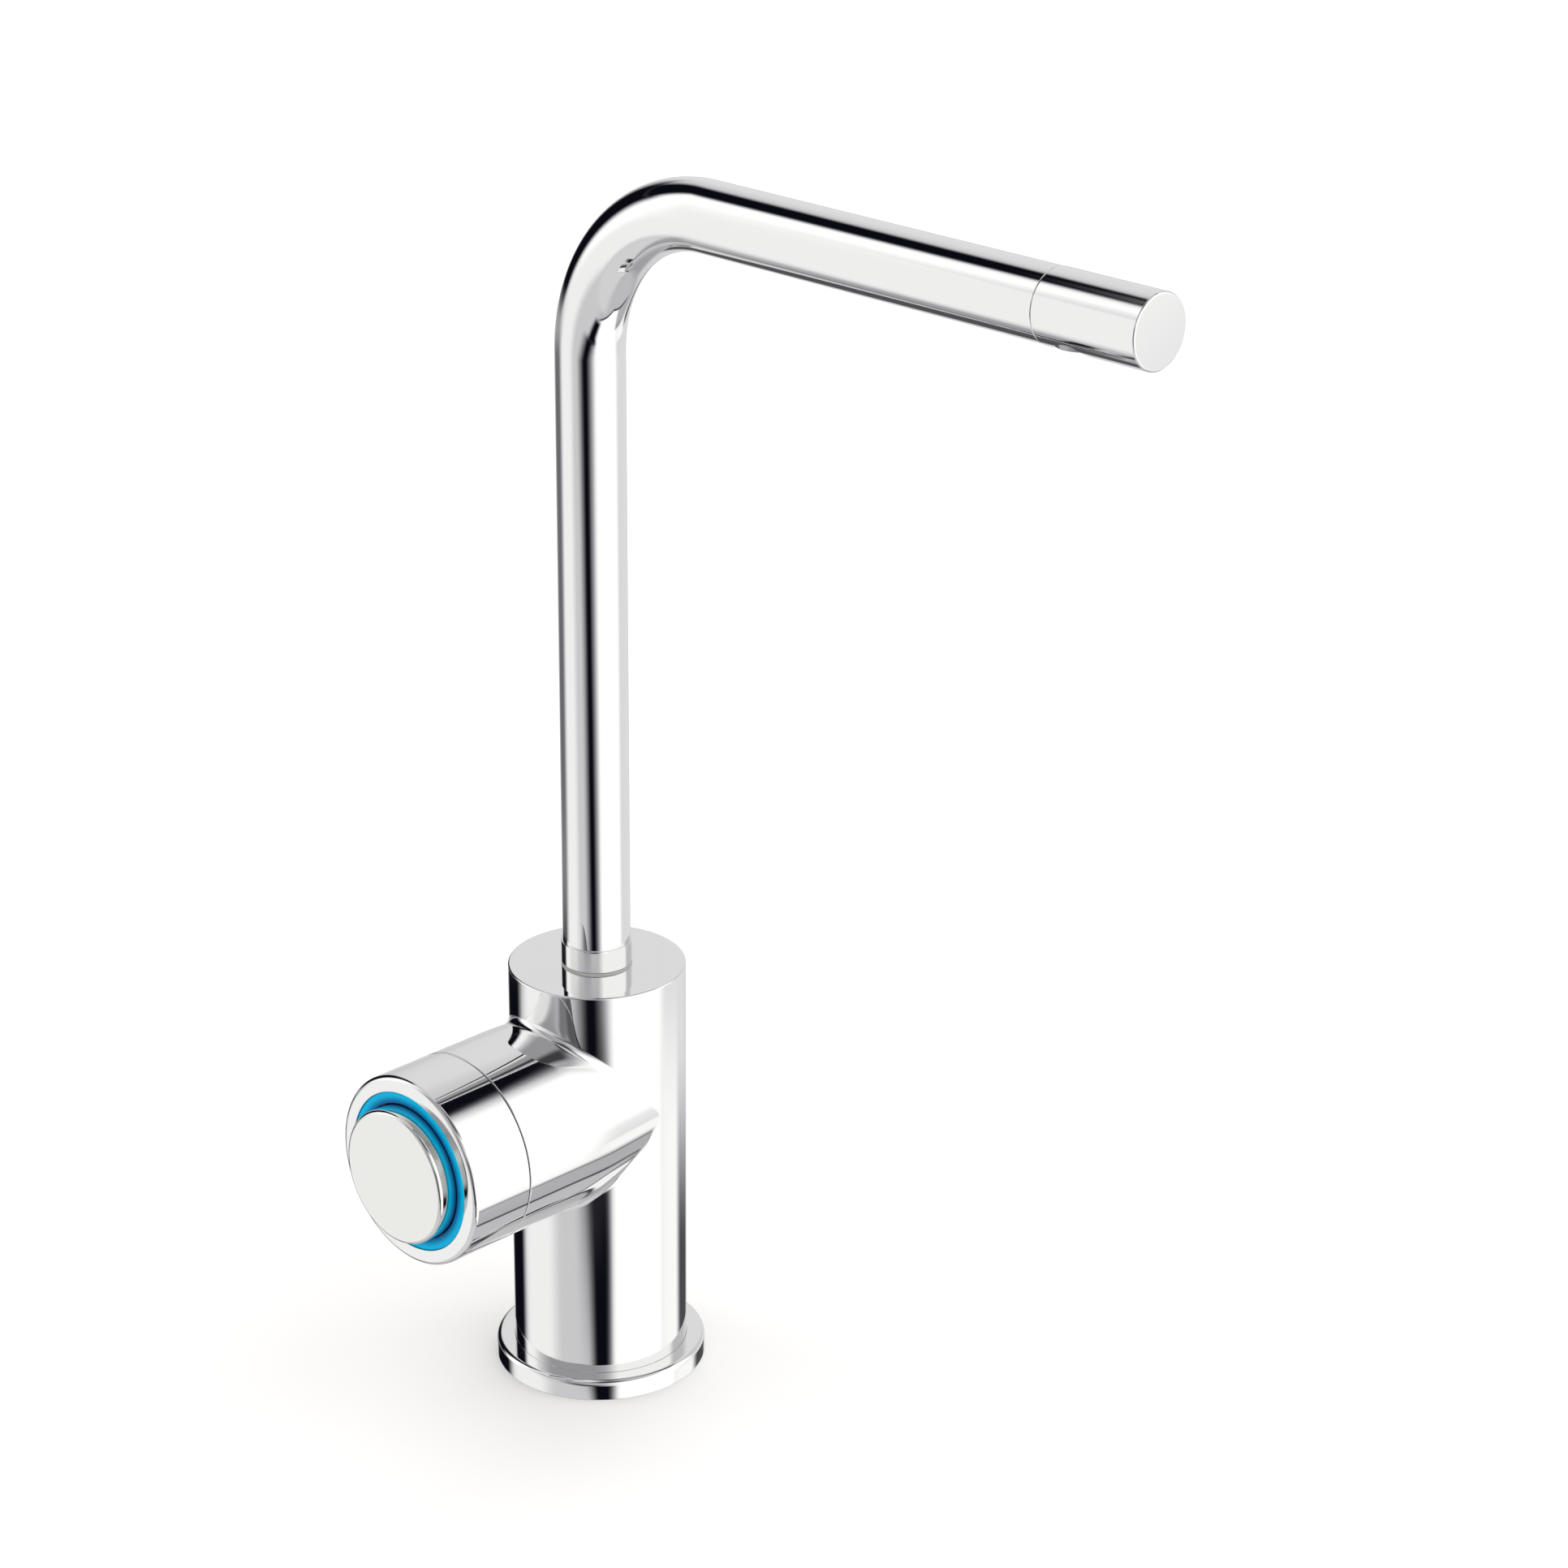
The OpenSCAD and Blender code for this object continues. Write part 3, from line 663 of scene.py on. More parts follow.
# %% Join and bore
body = cut(upright, branch, "UNION")
way_in = Axis((0, 0, 78), (-1, 0, 0), (0, 0, 1))
way_out = Axis((0, 0, 91), (-1, 0, 0), (0, 0, 1))
screw_axis = Axis((0, 0, 117.5), (0, 1, 0), (1, 0, 0))
for hole in (
    # axis, from, to, radius, steps round
    (body_axis, 94.5, 126, 9.35),           # the socket of the spout
    (screw_axis, 0, 30, 3.02),              # the hole of its lock screw
    (branch_axis, 12.35, 33.6, 17.5, 128),  # the valve's chamber
    (branch_axis, 33.5, 53, 21.0, 128),     # its wider mouth
    (body_axis, 2, 15, 16.52),              # the seat of the shank
    (body_axis, 14, 27, 5.0),               # the inlet
    (body_axis, 26, 81, 3.5, 32),           # the water's way up to the valve
    (body_axis, 88, 95.5, 3.5, 32),         # and on to the spout
    (way_in, -2, 13.5, 3.0, 32),            # from there into the valve's chamber
    (way_out, -2, 13.5, 3.0, 32),           # and out of it
):
    bore(body, *hole)
report(body)


# %% Correct the casting's shading
def casting_wall(place):
    """The exact normal of the upright's or the branch's wall, or None off both."""
    if abs(body_axis.radius_of(place) - BODY_R) < 0.03:
        return body_axis.outward(place)
    u = -place.x / MM
    sideways, height = place.y / MM, place.z / MM - BRANCH_Z
    radius = sqrt(sideways ** 2 + height ** 2)
    if u <= 0 or abs(radius - branch_radius(u)) >= 0.01:
        return None
    tilt = (branch_radius(u + NUDGE) - branch_radius(u - NUDGE)) / (2 * NUDGE)
    return Vector((tilt, sideways / radius, height / radius)).normalized()


true_wall(smooth(body), casting_wall, agree=0.985)
settle(body, "body_casting", "faucet_body", chrome_on_brass)

# %% [markdown]
# ## The base flange
# The flange is the low ring that hides the tap hole. The body stands in its recess, and
# its upper edge is rounded. It is one turned outline, with a groove below for the gasket,
# so that no cut has to be made and no seam shows in the polish.

# %% Turn the flange
FLANGE_R = 30.2
SHANK_HOLE_R = 17.0
GROOVE_DEPTH = 2.0
GROOVE_IN, GROOVE_OUT = 24.18, 28.22
flange = smooth(turned("flange", body_axis, [
    (0, SHANK_HOLE_R), (0, GROOVE_IN), (GROOVE_DEPTH, GROOVE_IN), (GROOVE_DEPTH, GROOVE_OUT),
    (0, GROOVE_OUT), *arc(0.2, FLANGE_R - 0.2, 0.2, 180, 90, 3),
    *arc(4.5, FLANGE_R - 1.5, 1.5, 90, 0, 10), *arc(5.85, BODY_R + 0.17, 0.15, 0, -90, 3),
    (BODY_LOW, BODY_R + 0.02), (BODY_LOW, SHANK_HOLE_R),
], steps=256))
settle(flange, "base_flange", "faucet_body", chrome_on_brass)


# %% Turn the gasket
def soft_ring(name, low, high, inner, outer, edge):
    """A flat ring of rectangular section with four rounded edges."""
    return smooth(turned(name, body_axis, [
        *arc(low + edge, inner + edge, edge, 270, 180, 3), *arc(low + edge, outer - edge, edge, 180, 90, 3),
        *arc(high - edge, outer - edge, edge, 90, 0, 3), *arc(high - edge, inner + edge, edge, 0, -90, 3),
    ]))


gasket = soft_ring("deck_gasket", 0, GROOVE_DEPTH, GROOVE_IN + 0.02, GROOVE_OUT - 0.02, 0.4)
settle(gasket, "base_gasket", "faucet_body", rubber)

# %% [markdown]
# ## The spout
# The spout is one tube: a riser, a bend and an arm. A ring of points is extruded up the
# riser, spun a quarter turn round the bend's centre, and extruded along the arm. Solidify
# then gives the tube its wall. A curve with a round bevel would also do, but its rings
# would not fall where the bend starts and ends.

# %% Bend the spout tube
TUBE_R = 9.5
TUBE_LOW = 125.1
BEND_R = 44.5
CAP_Y = 160.0
PARTS = 4  # lengths that each straight stretch is drawn in
riser, stretch = ARM_Z - BEND_R - TUBE_LOW, CAP_Y - BEND_R
fresh_start()
bpy.ops.mesh.primitive_circle_add(vertices=128, radius=TUBE_R * MM, location=(0, 0, TUBE_LOW * MM))
tube = newest("spout_pipe")
bpy.ops.object.mode_set(mode="EDIT")
for _ in range(PARTS):
    bpy.ops.mesh.extrude_edges_move(TRANSFORM_OT_translate={"value": (0, 0, riser / PARTS * MM)})
bend_centre = Vector((0, -BEND_R, ARM_Z - BEND_R)) * MM
bpy.ops.mesh.spin(steps=64, angle=pi / 2, center=bend_centre, axis=(-1, 0, 0))
for _ in range(PARTS):
    bpy.ops.mesh.extrude_edges_move(TRANSFORM_OT_translate={"value": (0, -stretch / PARTS * MM, 0)})
face_outwards()
bpy.ops.object.mode_set(mode="OBJECT")
report(tube)

# %% See that the open tube faces outwards
# An open tube has no inside that Blender could know, so its first face is looked at.
first = tube.data.polygons[0]
faces_in = first.normal.dot(body_axis.outward(first.center)) < 0
if faces_in:
    select_only(tube)
    bpy.ops.object.mode_set(mode="EDIT")
    bpy.ops.mesh.select_all(action="SELECT")
    bpy.ops.mesh.flip_normals()
    bpy.ops.object.mode_set(mode="OBJECT")
print("faces had to be flipped:", faces_in)

# %% Give the tube its wall
TUBE_WALL = 1.5
wall = tube.modifiers.new("wall", "SOLIDIFY")
wall.thickness, wall.offset = TUBE_WALL * MM, -1.0
select_only(tube)
bpy.ops.object.modifier_apply(modifier="wall")
report(tube)


# %% Round the tube's end at the parting line
def select_edges(piece, wanted):
    """Selects, in edit mode, the edges whose two ends the test takes."""
    bpy.ops.mesh.select_all(action="DESELECT")
    mesh = bmesh.from_edit_mesh(piece.data)
    for edge in mesh.edges:
        edge.select = wanted(*(v.co for v in edge.verts))
    bmesh.update_edit_mesh(piece.data)
    return sum(edge.select for edge in mesh.edges)


def at_tube_end(place):
    return abs(place.y / MM + CAP_Y) < 0.01 and abs(arm_axis.radius_of(place) - TUBE_R) < 0.05


bpy.ops.object.mode_set(mode="EDIT")
bpy.ops.mesh.select_mode(type="EDGE")
print("edges round the end:", select_edges(tube, lambda a, b: at_tube_end(a) and at_tube_end(b)))
bpy.ops.mesh.bevel(offset=EDGE * MM, segments=3)
bpy.ops.mesh.select_mode(type="VERT")
smooth(tube)
settle(tube, "spout_tube", "spout", chrome_on_tube)

# %% [markdown]
# ## Collar, outlet cap and aerator
# A thin collar hides the joint where the spout turns on the body. At the other end a cap
# closes the arm behind a fine parting line, and the aerator is screwed up into it from
# below. The cap is turned along the arm, and the aerator's bore is cut into its underside,
# because the two lie across each other and no single outline holds both.

# %% Turn the collar
COLLAR_TOP = 131.6
COLLAR_R = 9.95
collar = smooth(turned("spout_base_ring", body_axis, [
    (TUBE_LOW, TUBE_R + 0.02), *arc(TUBE_LOW + 0.15, COLLAR_R - 0.15, 0.15, 180, 90, 3),
    *arc(COLLAR_TOP - 0.1, COLLAR_R - 0.1, 0.1, 90, 0, 3), (COLLAR_TOP, TUBE_R + 0.02),
]))
settle(collar, "spout_collar", "spout", chrome_on_brass)

# %% Turn the outlet cap
CAP_R = 9.6
CAP_END = 191.4
CAP_EDGE = 0.6
SPIGOT_R = 7.98  # the stretch that sits in the tube
SPIGOT_Y = 150.0
WATER_R = 5.0
WATER_END = OUTLET_Y + 1
cap = turned("outlet_end", arm_axis, [
    (SPIGOT_Y, WATER_R), (SPIGOT_Y, SPIGOT_R), (CAP_Y, SPIGOT_R),
    *arc(CAP_Y + EDGE, CAP_R - EDGE, EDGE, 180, 90, 4),
    *arc(CAP_END - CAP_EDGE, CAP_R - CAP_EDGE, CAP_EDGE, 90, 0, 6), (CAP_END, 0),
    (WATER_END, 0), (WATER_END, WATER_R),
])
bore(cap, outlet_axis, 335, ARM_Z, 7.05)
true_wall(smooth(cap), round_wall(arm_axis, CAP_R))
settle(cap, "outlet_cap", "spout", chrome_on_brass)

# %% Turn the aerator's ring
AERATOR_LOW = ARM_Z - 7.8
AERATOR_TOP = ARM_Z - 1
LIP_Z = AERATOR_LOW + 0.8  # the top of the lip that holds the insert
ring = turned("aerator_ring", outlet_axis, [
    *arc(AERATOR_LOW + 0.3, 5.3, 0.3, 270, 180, 3), *arc(AERATOR_LOW + 0.4, 6.6, 0.4, 180, 90, 4),
    (AERATOR_TOP, 7.0), (AERATOR_TOP, 5.8), (LIP_Z, 5.8), (LIP_Z, 5.0),
], steps=128)
report(ring)

# %% Cut the slots for its key
SLOT_WIDTH = 2.0
SLOT_HEIGHT = 0.8
for slant in (45, 135):
    fresh_start()
    bpy.ops.mesh.primitive_cube_add(size=MM, location=Vector((0, -OUTLET_Y, AERATOR_LOW)) * MM,
                                    rotation=(0, 0, radians(slant)), scale=(20, SLOT_WIDTH, SLOT_HEIGHT))
    cut(ring, newest("key"))
smooth(ring)
# the aerator's dark tint is a painted reflection, over a real satin gloss
settle(ring, "aerator_housing", "spout", satin_chrome_painted_dark)

# %% [markdown]
# ## The knob
# The knob is the turning end of the branch. Its outline has the rounded front edge, the
# flat rim, the stepped recess for the blue ring and the button, a web that carries it on
# the spindle, and a guide ring that runs inside the branch's mouth. Its hub is bored to
# the spindle's shape: a round cutter with two flats, made with Bisect.

# %% Turn the knob
KNOB_U = 51.5
RIM_U = 71.5
FRONT_EDGE = 1.6
LEDGE_U = 67.1  # the blue ring lies on this step
WEB_U = 55.5
HUB_U, HUB_R, HUB_BORE = 45.5, 9.0, 3.0
GUIDE_U, GUIDE_IN, GUIDE_OUT = 47.0, 19.0, 20.9
RECESS_R, WELL_R = 22.9, 21.0
knob = turned("knob", branch_axis, [
    (HUB_U, HUB_BORE), (HUB_U, HUB_R - 0.2), (HUB_U + 0.2, HUB_R), (KNOB_U, HUB_R),
    (KNOB_U, GUIDE_IN), (GUIDE_U, GUIDE_IN), (GUIDE_U, GUIDE_OUT), (KNOB_U, GUIDE_OUT),
    *arc(KNOB_U + EDGE, BRANCH_R - EDGE, EDGE, 180, 90, 4),
    *arc(RIM_U - FRONT_EDGE, BRANCH_R - FRONT_EDGE, FRONT_EDGE, 90, 0, 10),
    *arc(RIM_U - 0.2, RECESS_R + 0.2, 0.2, 0, -90, 4),
    (LEDGE_U, RECESS_R), (LEDGE_U, WELL_R), (WEB_U, WELL_R), (WEB_U, HUB_BORE),
], steps=256)
report(knob)

# %% Bore the hub to the spindle's shape
SPINDLE_R = 6.02
FLAT = 5.02  # from the axis to each flat
fit = turned("fit", branch_axis, [(44, 0), (60, 0), (60, SPINDLE_R), (44, SPINDLE_R)], 96)
select_only(fit)
bpy.ops.object.mode_set(mode="EDIT")
for side in (-1, 1):
    bpy.ops.mesh.select_all(action="SELECT")
    bpy.ops.mesh.bisect(plane_co=Vector((0, 0, BRANCH_Z + side * FLAT)) * MM, plane_no=(0, 0, side),
                        use_fill=True, clear_outer=True)
bpy.ops.object.mode_set(mode="OBJECT")
cut(knob, fit)
true_wall(smooth(knob), round_wall(branch_axis, BRANCH_R))
settle(knob, "knob_sleeve", "knob", chrome_on_brass)

# %% [markdown]
# ## The blue marker ring
# The ring that marks the filtered water is a blue ABS moulding with the gloss of its
# polished mould. Its own colour is a strong cyan. Towards the button it is painted a deeper
# blue: painted shade, for the shade and dark reflection in the groove beside the button's
# wall. Its colour drifts a little besides, as a dyed plastic's does, so it starts from the
# recipe of the plain finishes. It sits below the rim and catches less of the tent than an
# open face would: its specular level is lowered for that.

# %% Glossy blue moulding
# Painted shade: between these two radii the blue darkens, deepest next to the button.
PAINTED_SHADE_R, CYAN_R = 19.5, 22.2
blue = drifting("glossy_blue_abs", ("#00C4F4", "#00B6E6"), 7, (0.16, 0.24), 0.002)
dye_and_shade_tree = blue.node_tree
skin = dye_and_shade_tree.nodes["Principled BSDF"]
skin.inputs["Specular IOR Level"].default_value = 0.05
cyan = skin.inputs["Base Color"].links[0].from_node
# Painted shade: a ramp over the radius mixes the cyan towards dark blue near the button.
centred = add_node(dye_and_shade_tree, "Mapping", {"Location": (0, 0, -BRANCH_Z * MM), "Scale": (0, 1, 1)},
                   {"Vector": dye_and_shade_tree.nodes["Texture Coordinate"].outputs["Object"]})
radius = add_node(dye_and_shade_tree, "VectorMath", {"operation": "LENGTH"}, {"Vector": centred})
depth = add_node(dye_and_shade_tree, "MapRange", {"interpolation_type": "SMOOTHSTEP",
                 "From Min": CYAN_R * MM, "From Max": PAINTED_SHADE_R * MM}, {"Value": radius.outputs["Value"]})
blue_with_painted_shade = add_node(dye_and_shade_tree, "Mix", {"data_type": "RGBA", "B": colour("#005F9E")},
                    {"Factor": depth, "A": cyan})
dye_and_shade_tree.links.new(output(blue_with_painted_shade), skin.inputs["Base Color"])
print("marker ring:", blue.name, "deepest at a radius of", PAINTED_SHADE_R, "mm")

# %% Turn the marker ring
RING_IN, RING_OUT, RING_TOP = 19.55, 22.85, 71.1
RING_EDGE = 0.2
marker = smooth(turned("marker_band", branch_axis, [
    (LEDGE_U, RING_IN), (LEDGE_U, RING_OUT),
    *arc(RING_TOP - RING_EDGE, RING_OUT - RING_EDGE, RING_EDGE, 90, 0, 4),
    *arc(RING_TOP - RING_EDGE, RING_IN + RING_EDGE, RING_EDGE, 0, -90, 4),
]))
settle(marker, "marker_ring", "knob", blue)

# %% [markdown]
# ## The push button
# The button is a plated cap that stands proud of the knob. A flange below the blue ring
# keeps it from falling out, and a boss inside it takes the stem. It is hollow, as moulded
# plastic must be, so its outline goes up the outside and comes back down the inside.

# %% Turn the button
BUTTON_R = 19.3
BUTTON_U = 77.0
BUTTON_EDGE = 1.2
BOTTOM_U, CEILING_U = 65.4, 74.0
FLANGE_TOP, CATCH_R = 66.9, 20.75
BUTTON_IN = 17.3
BOSS_U, BOSS_R, STEM_R = 65.5, 4.0, 2.02
button = smooth(turned("button", branch_axis, [
    (BOTTOM_U, BUTTON_IN), (BOTTOM_U, CATCH_R - 0.2), (BOTTOM_U + 0.2, CATCH_R),
    (FLANGE_TOP - 0.2, CATCH_R), (FLANGE_TOP, CATCH_R - 0.2), (FLANGE_TOP, BUTTON_R),
    (BUTTON_U - BUTTON_EDGE, BUTTON_R),
    *arc(BUTTON_U - BUTTON_EDGE, BUTTON_R - BUTTON_EDGE, BUTTON_EDGE, 90, 0, 8), (BUTTON_U, 0),
    (CEILING_U, 0), (CEILING_U, STEM_R), (BOSS_U, STEM_R), (BOSS_U, BOSS_R), (CEILING_U, BOSS_R),
    (CEILING_U, BUTTON_IN),
], steps=256))
settle(button, "push_button", "button", chrome_on_plastic)

# %% [markdown]
# ## The button's spring
# A spring brings the button back. It is one wire wound round the spindle's end. A small
# circle, the wire's section, climbs along the X axis in the Screw modifier, which turns
# about the object's own origin, so the coil is wound there and then lifted to the branch's
# height.

# %% Draw the wire's section
WIRE_R = 0.5
COIL_R = 7.7
SEAT_U = 60.52
UNDER_U = 73.98
fresh_start()
bpy.ops.mesh.primitive_circle_add(vertices=12, radius=WIRE_R * MM, rotation=(pi / 2, 0, 0),
                                  location=(-(SEAT_U + WIRE_R) * MM, 0, COIL_R * MM))
coil = newest("coil")
report(coil)

# %% Wind the spring
COIL_TURNS = 5
winding = coil.modifiers.new("winding", "SCREW")
winding.axis, winding.angle, winding.iterations = "X", 2 * pi, COIL_TURNS
winding.screw_offset = -(UNDER_U - SEAT_U - 2 * WIRE_R) / COIL_TURNS * MM
winding.steps = winding.render_steps = 48
bpy.ops.object.modifier_apply(modifier="winding")
bpy.ops.object.mode_set(mode="EDIT")
bpy.ops.mesh.select_all(action="SELECT")
bpy.ops.mesh.fill_holes(sides=12)
face_outwards()
bpy.ops.transform.translate(value=(0, 0, BRANCH_Z * MM))
smooth(coil)
settle(coil, "button_spring", "knob", steel)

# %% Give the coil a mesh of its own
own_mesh(coil)

# %% [markdown]
# ## The threaded shank
# The shank hangs below the worktop and is threaded down to its plain pilot end, 2 mm from
# crest to crest. A thread is one tooth swept along a helix, which is what the Screw
# modifier does: it turns the tooth's outline and climbs one pitch in each turn. The swept
# tooth is trimmed to the shank's outline and then joined to the plain core.

# %% Sweep the thread
PITCH = 2.0
CREST = 16.5
ROOT = 15.3
SHANK_LOW, SHANK_TOP = -60.0, 15.0
THREAD_LOW = SHANK_LOW + 10
RUN_IN = 3.0  # the sweep starts lower than the thread and is trimmed to it
TURNS = 34    # enough to pass the shank's top
tooth = [(0.05, ROOT - 0.6), (0.05, ROOT), (0.8, CREST + 0.1), (1.2, CREST + 0.1), (1.95, ROOT),
         (1.95, ROOT - 0.6)]
thread = drawn("thread", [body_axis.at(THREAD_LOW - RUN_IN + climb, r) for climb, r in tooth])
bpy.ops.object.mode_set(mode="OBJECT")
helix = thread.modifiers.new("helix", "SCREW")
helix.axis, helix.angle, helix.screw_offset = "Z", 2 * pi, PITCH * MM
helix.iterations, helix.steps, helix.render_steps = TURNS, 72, 72
select_only(thread)
bpy.ops.object.modifier_apply(modifier="helix")
report(thread)

# %% Close the thread's two ends
bpy.ops.object.mode_set(mode="EDIT")
merge()
bpy.ops.mesh.fill_holes(sides=8)
face_outwards()
bpy.ops.object.mode_set(mode="OBJECT")
report(thread)

# %% Trim the thread and join it to its core
OVERLAP = 0.3  # the thread reaches so far into the core
BORE_R = 13.0
trim = turned("trim", body_axis, [
    (THREAD_LOW, ROOT - OVERLAP), (THREAD_LOW, ROOT), (THREAD_LOW + 1.2, CREST),
    (SHANK_TOP, CREST), (SHANK_TOP, ROOT - OVERLAP),
], steps=144)
cut(thread, trim, "INTERSECT")
shank = turned("shank", body_axis, [
    (SHANK_LOW, BORE_R + 0.2), (SHANK_LOW, ROOT - 1), (SHANK_LOW + 1, ROOT), (SHANK_TOP, ROOT),
    (SHANK_TOP, BORE_R + 0.2), (SHANK_TOP - 0.2, BORE_R), (SHANK_LOW + 0.2, BORE_R),
], steps=144)
cut(shank, thread, "UNION")
smooth(shank)
settle(shank, "threaded_shank", "faucet_body", brass_upright)

# %% [markdown]
# ## Washers and the fixing nut
# A rubber washer, a steel washer and a flat brass nut clamp the faucet to the worktop.
# The washers are turned with softly rounded edges. The nut starts as a six-sided prism:
# its upright edges are bevelled, and its corners are turned down at both ends, as on a
# bought nut, by keeping only what it shares with a turned blank.

# %% Turn the washers
rubber_disc = soft_ring("rubber_disc", -33, -30, 17.0, 27.0, 0.5)
settle(rubber_disc, "rubber_washer", "faucet_body", rubber)
# The steel washer is stamped, which leaves its outer edge rounder on one side.
steel_disc = smooth(turned("steel_disc", body_axis, [
    *arc(-34.85, 17.15, 0.15, 270, 180, 2), *arc(-34.7, 26.7, 0.3, 180, 90, 3),
    *arc(-33.15, 26.85, 0.15, 90, 0, 2), *arc(-33.15, 17.15, 0.15, 0, -90, 2),
]))
settle(steel_disc, "clamp_washer", "faucet_body", steel)

# %% Shape the nut's prism
NUT_LOW, NUT_HIGH = -45.0, -35.0
FLAT_R = 21.0
fresh_start()
bpy.ops.mesh.primitive_cylinder_add(
    vertices=6, radius=FLAT_R / cos(radians(30)) * MM, depth=(NUT_HIGH - NUT_LOW) * MM,
    location=(0, 0, (NUT_LOW + NUT_HIGH) / 2 * MM), rotation=(0, 0, radians(30)))
nut = newest("nut")
bpy.ops.object.mode_set(mode="EDIT")
print("upright edges:", select_edges(nut, lambda a, b: abs((a - b).z) > MM))
bpy.ops.mesh.bevel(offset=0.5 * MM, segments=3)
bpy.ops.object.mode_set(mode="OBJECT")

# %% Turn its corners down and tap it
FACE_R, CORNER_R = 22.6, 24.4
TAP_R, COUNTERSINK = 16.52, 0.88
cut(nut, turned("trim", body_axis, [
    (NUT_LOW, 0), (NUT_LOW, FACE_R), (NUT_LOW + 1, CORNER_R), (NUT_HIGH - 1, CORNER_R),
    (NUT_HIGH, FACE_R), (NUT_HIGH, 0),
]), "INTERSECT")
cut(nut, turned("tap", body_axis, [
    (NUT_LOW - 1, 0), (NUT_LOW - 1, TAP_R + COUNTERSINK), (NUT_LOW, TAP_R + COUNTERSINK),
    (NUT_LOW + COUNTERSINK, TAP_R), (NUT_HIGH - COUNTERSINK, TAP_R),
    (NUT_HIGH, TAP_R + COUNTERSINK), (NUT_HIGH + 1, TAP_R + COUNTERSINK), (NUT_HIGH + 1, 0),
], steps=144))
smooth(nut)
settle(nut, "fixing_nut", "faucet_body", brass_upright)

# %% [markdown]
# ## The pieces that stay as the CAD drew them
# The valve and the seals sit inside the faucet, and their CAD shapes are right as they
# are. Modelling them again would add nothing that shows, so they only get their real
# materials.

# %% Materials for the inner pieces
inner = {
    # the glide washer's grey is painted shade
    acetal_painted_shade: ("glide_washer",),
    acetal: ("aerator_insert", "cartridge_base", "cartridge_body"),
    rubber: ("spout_seals", "aerator_washer", "seat_seals", "spindle_seal"),
    ceramic: ("fixed_ceramic_disc", "moving_ceramic_disc"),
    steel: ("spout_lock_screw", "button_stem"),
    brass_upright: ("spout_foot",),
    brass_sideways: ("valve_spindle", "cartridge_nut", "knob_nut"),
}
for material, nodes in inner.items():
    for name in nodes:
        piece = frame["nodes"][name]
        piece.data.materials.clear()
        piece.data.materials.append(material)
print("CAD pieces with a new material:", sum(len(nodes) for nodes in inner.values()))

# %% [markdown]
# ## The floor
# The faucet stands on a plain pale sheet with a tap hole in it, because its shank goes
# down through the worktop. A ring of edges round the hole is extruded outwards and scaled
# up, so the floor is one flat surface with a round hole, and needs no cut.

# %% Lay the floor
HOLE_R = 17.5
fresh_start()
bpy.ops.mesh.primitive_circle_add(vertices=96, radius=HOLE_R * MM)
floor = newest("floor")
bpy.ops.object.mode_set(mode="EDIT")
for reach in (2, 8, 30):
    bpy.ops.mesh.extrude_edges_move()
    bpy.ops.transform.resize(value=(reach, reach, 1))
face_outwards()
bpy.ops.object.mode_set(mode="OBJECT")
floor.visible_glossy = False
print("floor hole", 2 * HOLE_R, "mm across")

# %% Cover it with pale paper
paper, tree, where = new_material("pale_paper")
fibre = add_node(tree, "TexNoise", {"Scale": every(3), "Detail": 4.0}, {"Vector": where})
fluff = add_node(tree, "Bump", {"Distance": 0.01 * MM}, {"Height": fibre})
shader = add_node(tree, "BsdfPrincipled", {"Base Color": colour("#F5F4F2"), "Roughness": 0.9},
                  {"Normal": fluff})
add_node(tree, "OutputMaterial", links={"Surface": shader})
floor.data.materials.append(paper)
print("floor material:", paper.name)

# %% [markdown]
# ## The studio
# A polished faucet shows its studio more than itself. For such a picture it stands in a
# white tent with black cards on both sides, so that each round wall gets bright and dark
# stripes with soft edges. Lamps and cards could be objects, but their noise and their
# edges would be hard to steer. The tent is the World here. Azimuth runs from +X towards
# +Y and elevation up from the horizon, both in degrees, and each lamp or card is a patch
# of them. The camera is at azimuth -136.

# %% Directions in the tent
world = bpy.data.worlds.new("white_tent")
bpy.context.scene.world = world
world.use_nodes = True
tent = world.node_tree
tent.nodes.clear()
toward = add_node(tent, "TexCoord").outputs["Generated"]
parts = add_node(tent, "SeparateXYZ", links={"Vector": toward})
turn = add_node(tent, "Math", {"operation": "ARCTAN2"}, {0: parts.outputs["Y"], 1: parts.outputs["X"]})
azimuth = add_node(tent, "Math", {"operation": "DEGREES"}, {0: turn})
lift = add_node(tent, "Math", {"operation": "ARCSINE"}, {0: parts.outputs["Z"]})
elevation = add_node(tent, "Math", {"operation": "DEGREES"}, {0: lift})
print("tent nodes:", len(tent.nodes))

# %% A lamp or a card
TENT = 0.55


def hang(under, light, middle, half, soft, low=-90, high=90, fade=6, lean=0, bow=0):
    """Lays a patch with soft edges over what is there. Its middle may lean, by so many
    degrees for each degree up, and its lower and upper edge may bow towards its sides."""
    away = add_node(tent, "Math", {"operation": "MULTIPLY_ADD", 1: -lean}, {0: elevation, 2: azimuth})
    off = add_node(tent, "Math", {"operation": "SUBTRACT", 1: middle}, {0: away})
    side = add_node(tent, "Math", {"operation": "PINGPONG", 1: 180}, {0: off})
    level = add_node(tent, "Math", {"operation": "MULTIPLY_ADD", 1: -bow}, {0: side, 2: elevation})
    cover = None
    for value, none, full in ((side, half + soft, half - soft), (level, low - fade, low + fade),
                              (level, high + fade, high - fade)):
        edge = add_node(tent, "MapRange", {"interpolation_type": "SMOOTHSTEP", "From Min": none,
                        "From Max": full}, {"Value": value})
        cover = add_node(tent, "Math", {"operation": "MULTIPLY"}, {0: cover, 1: edge}) if cover else edge
    return add_node(tent, "Mix", {"data_type": "FLOAT", "A": TENT, "B": light},
                    {"Factor": cover} | ({"A": under} if under else {}))


print("plain tent brightness:", TENT)

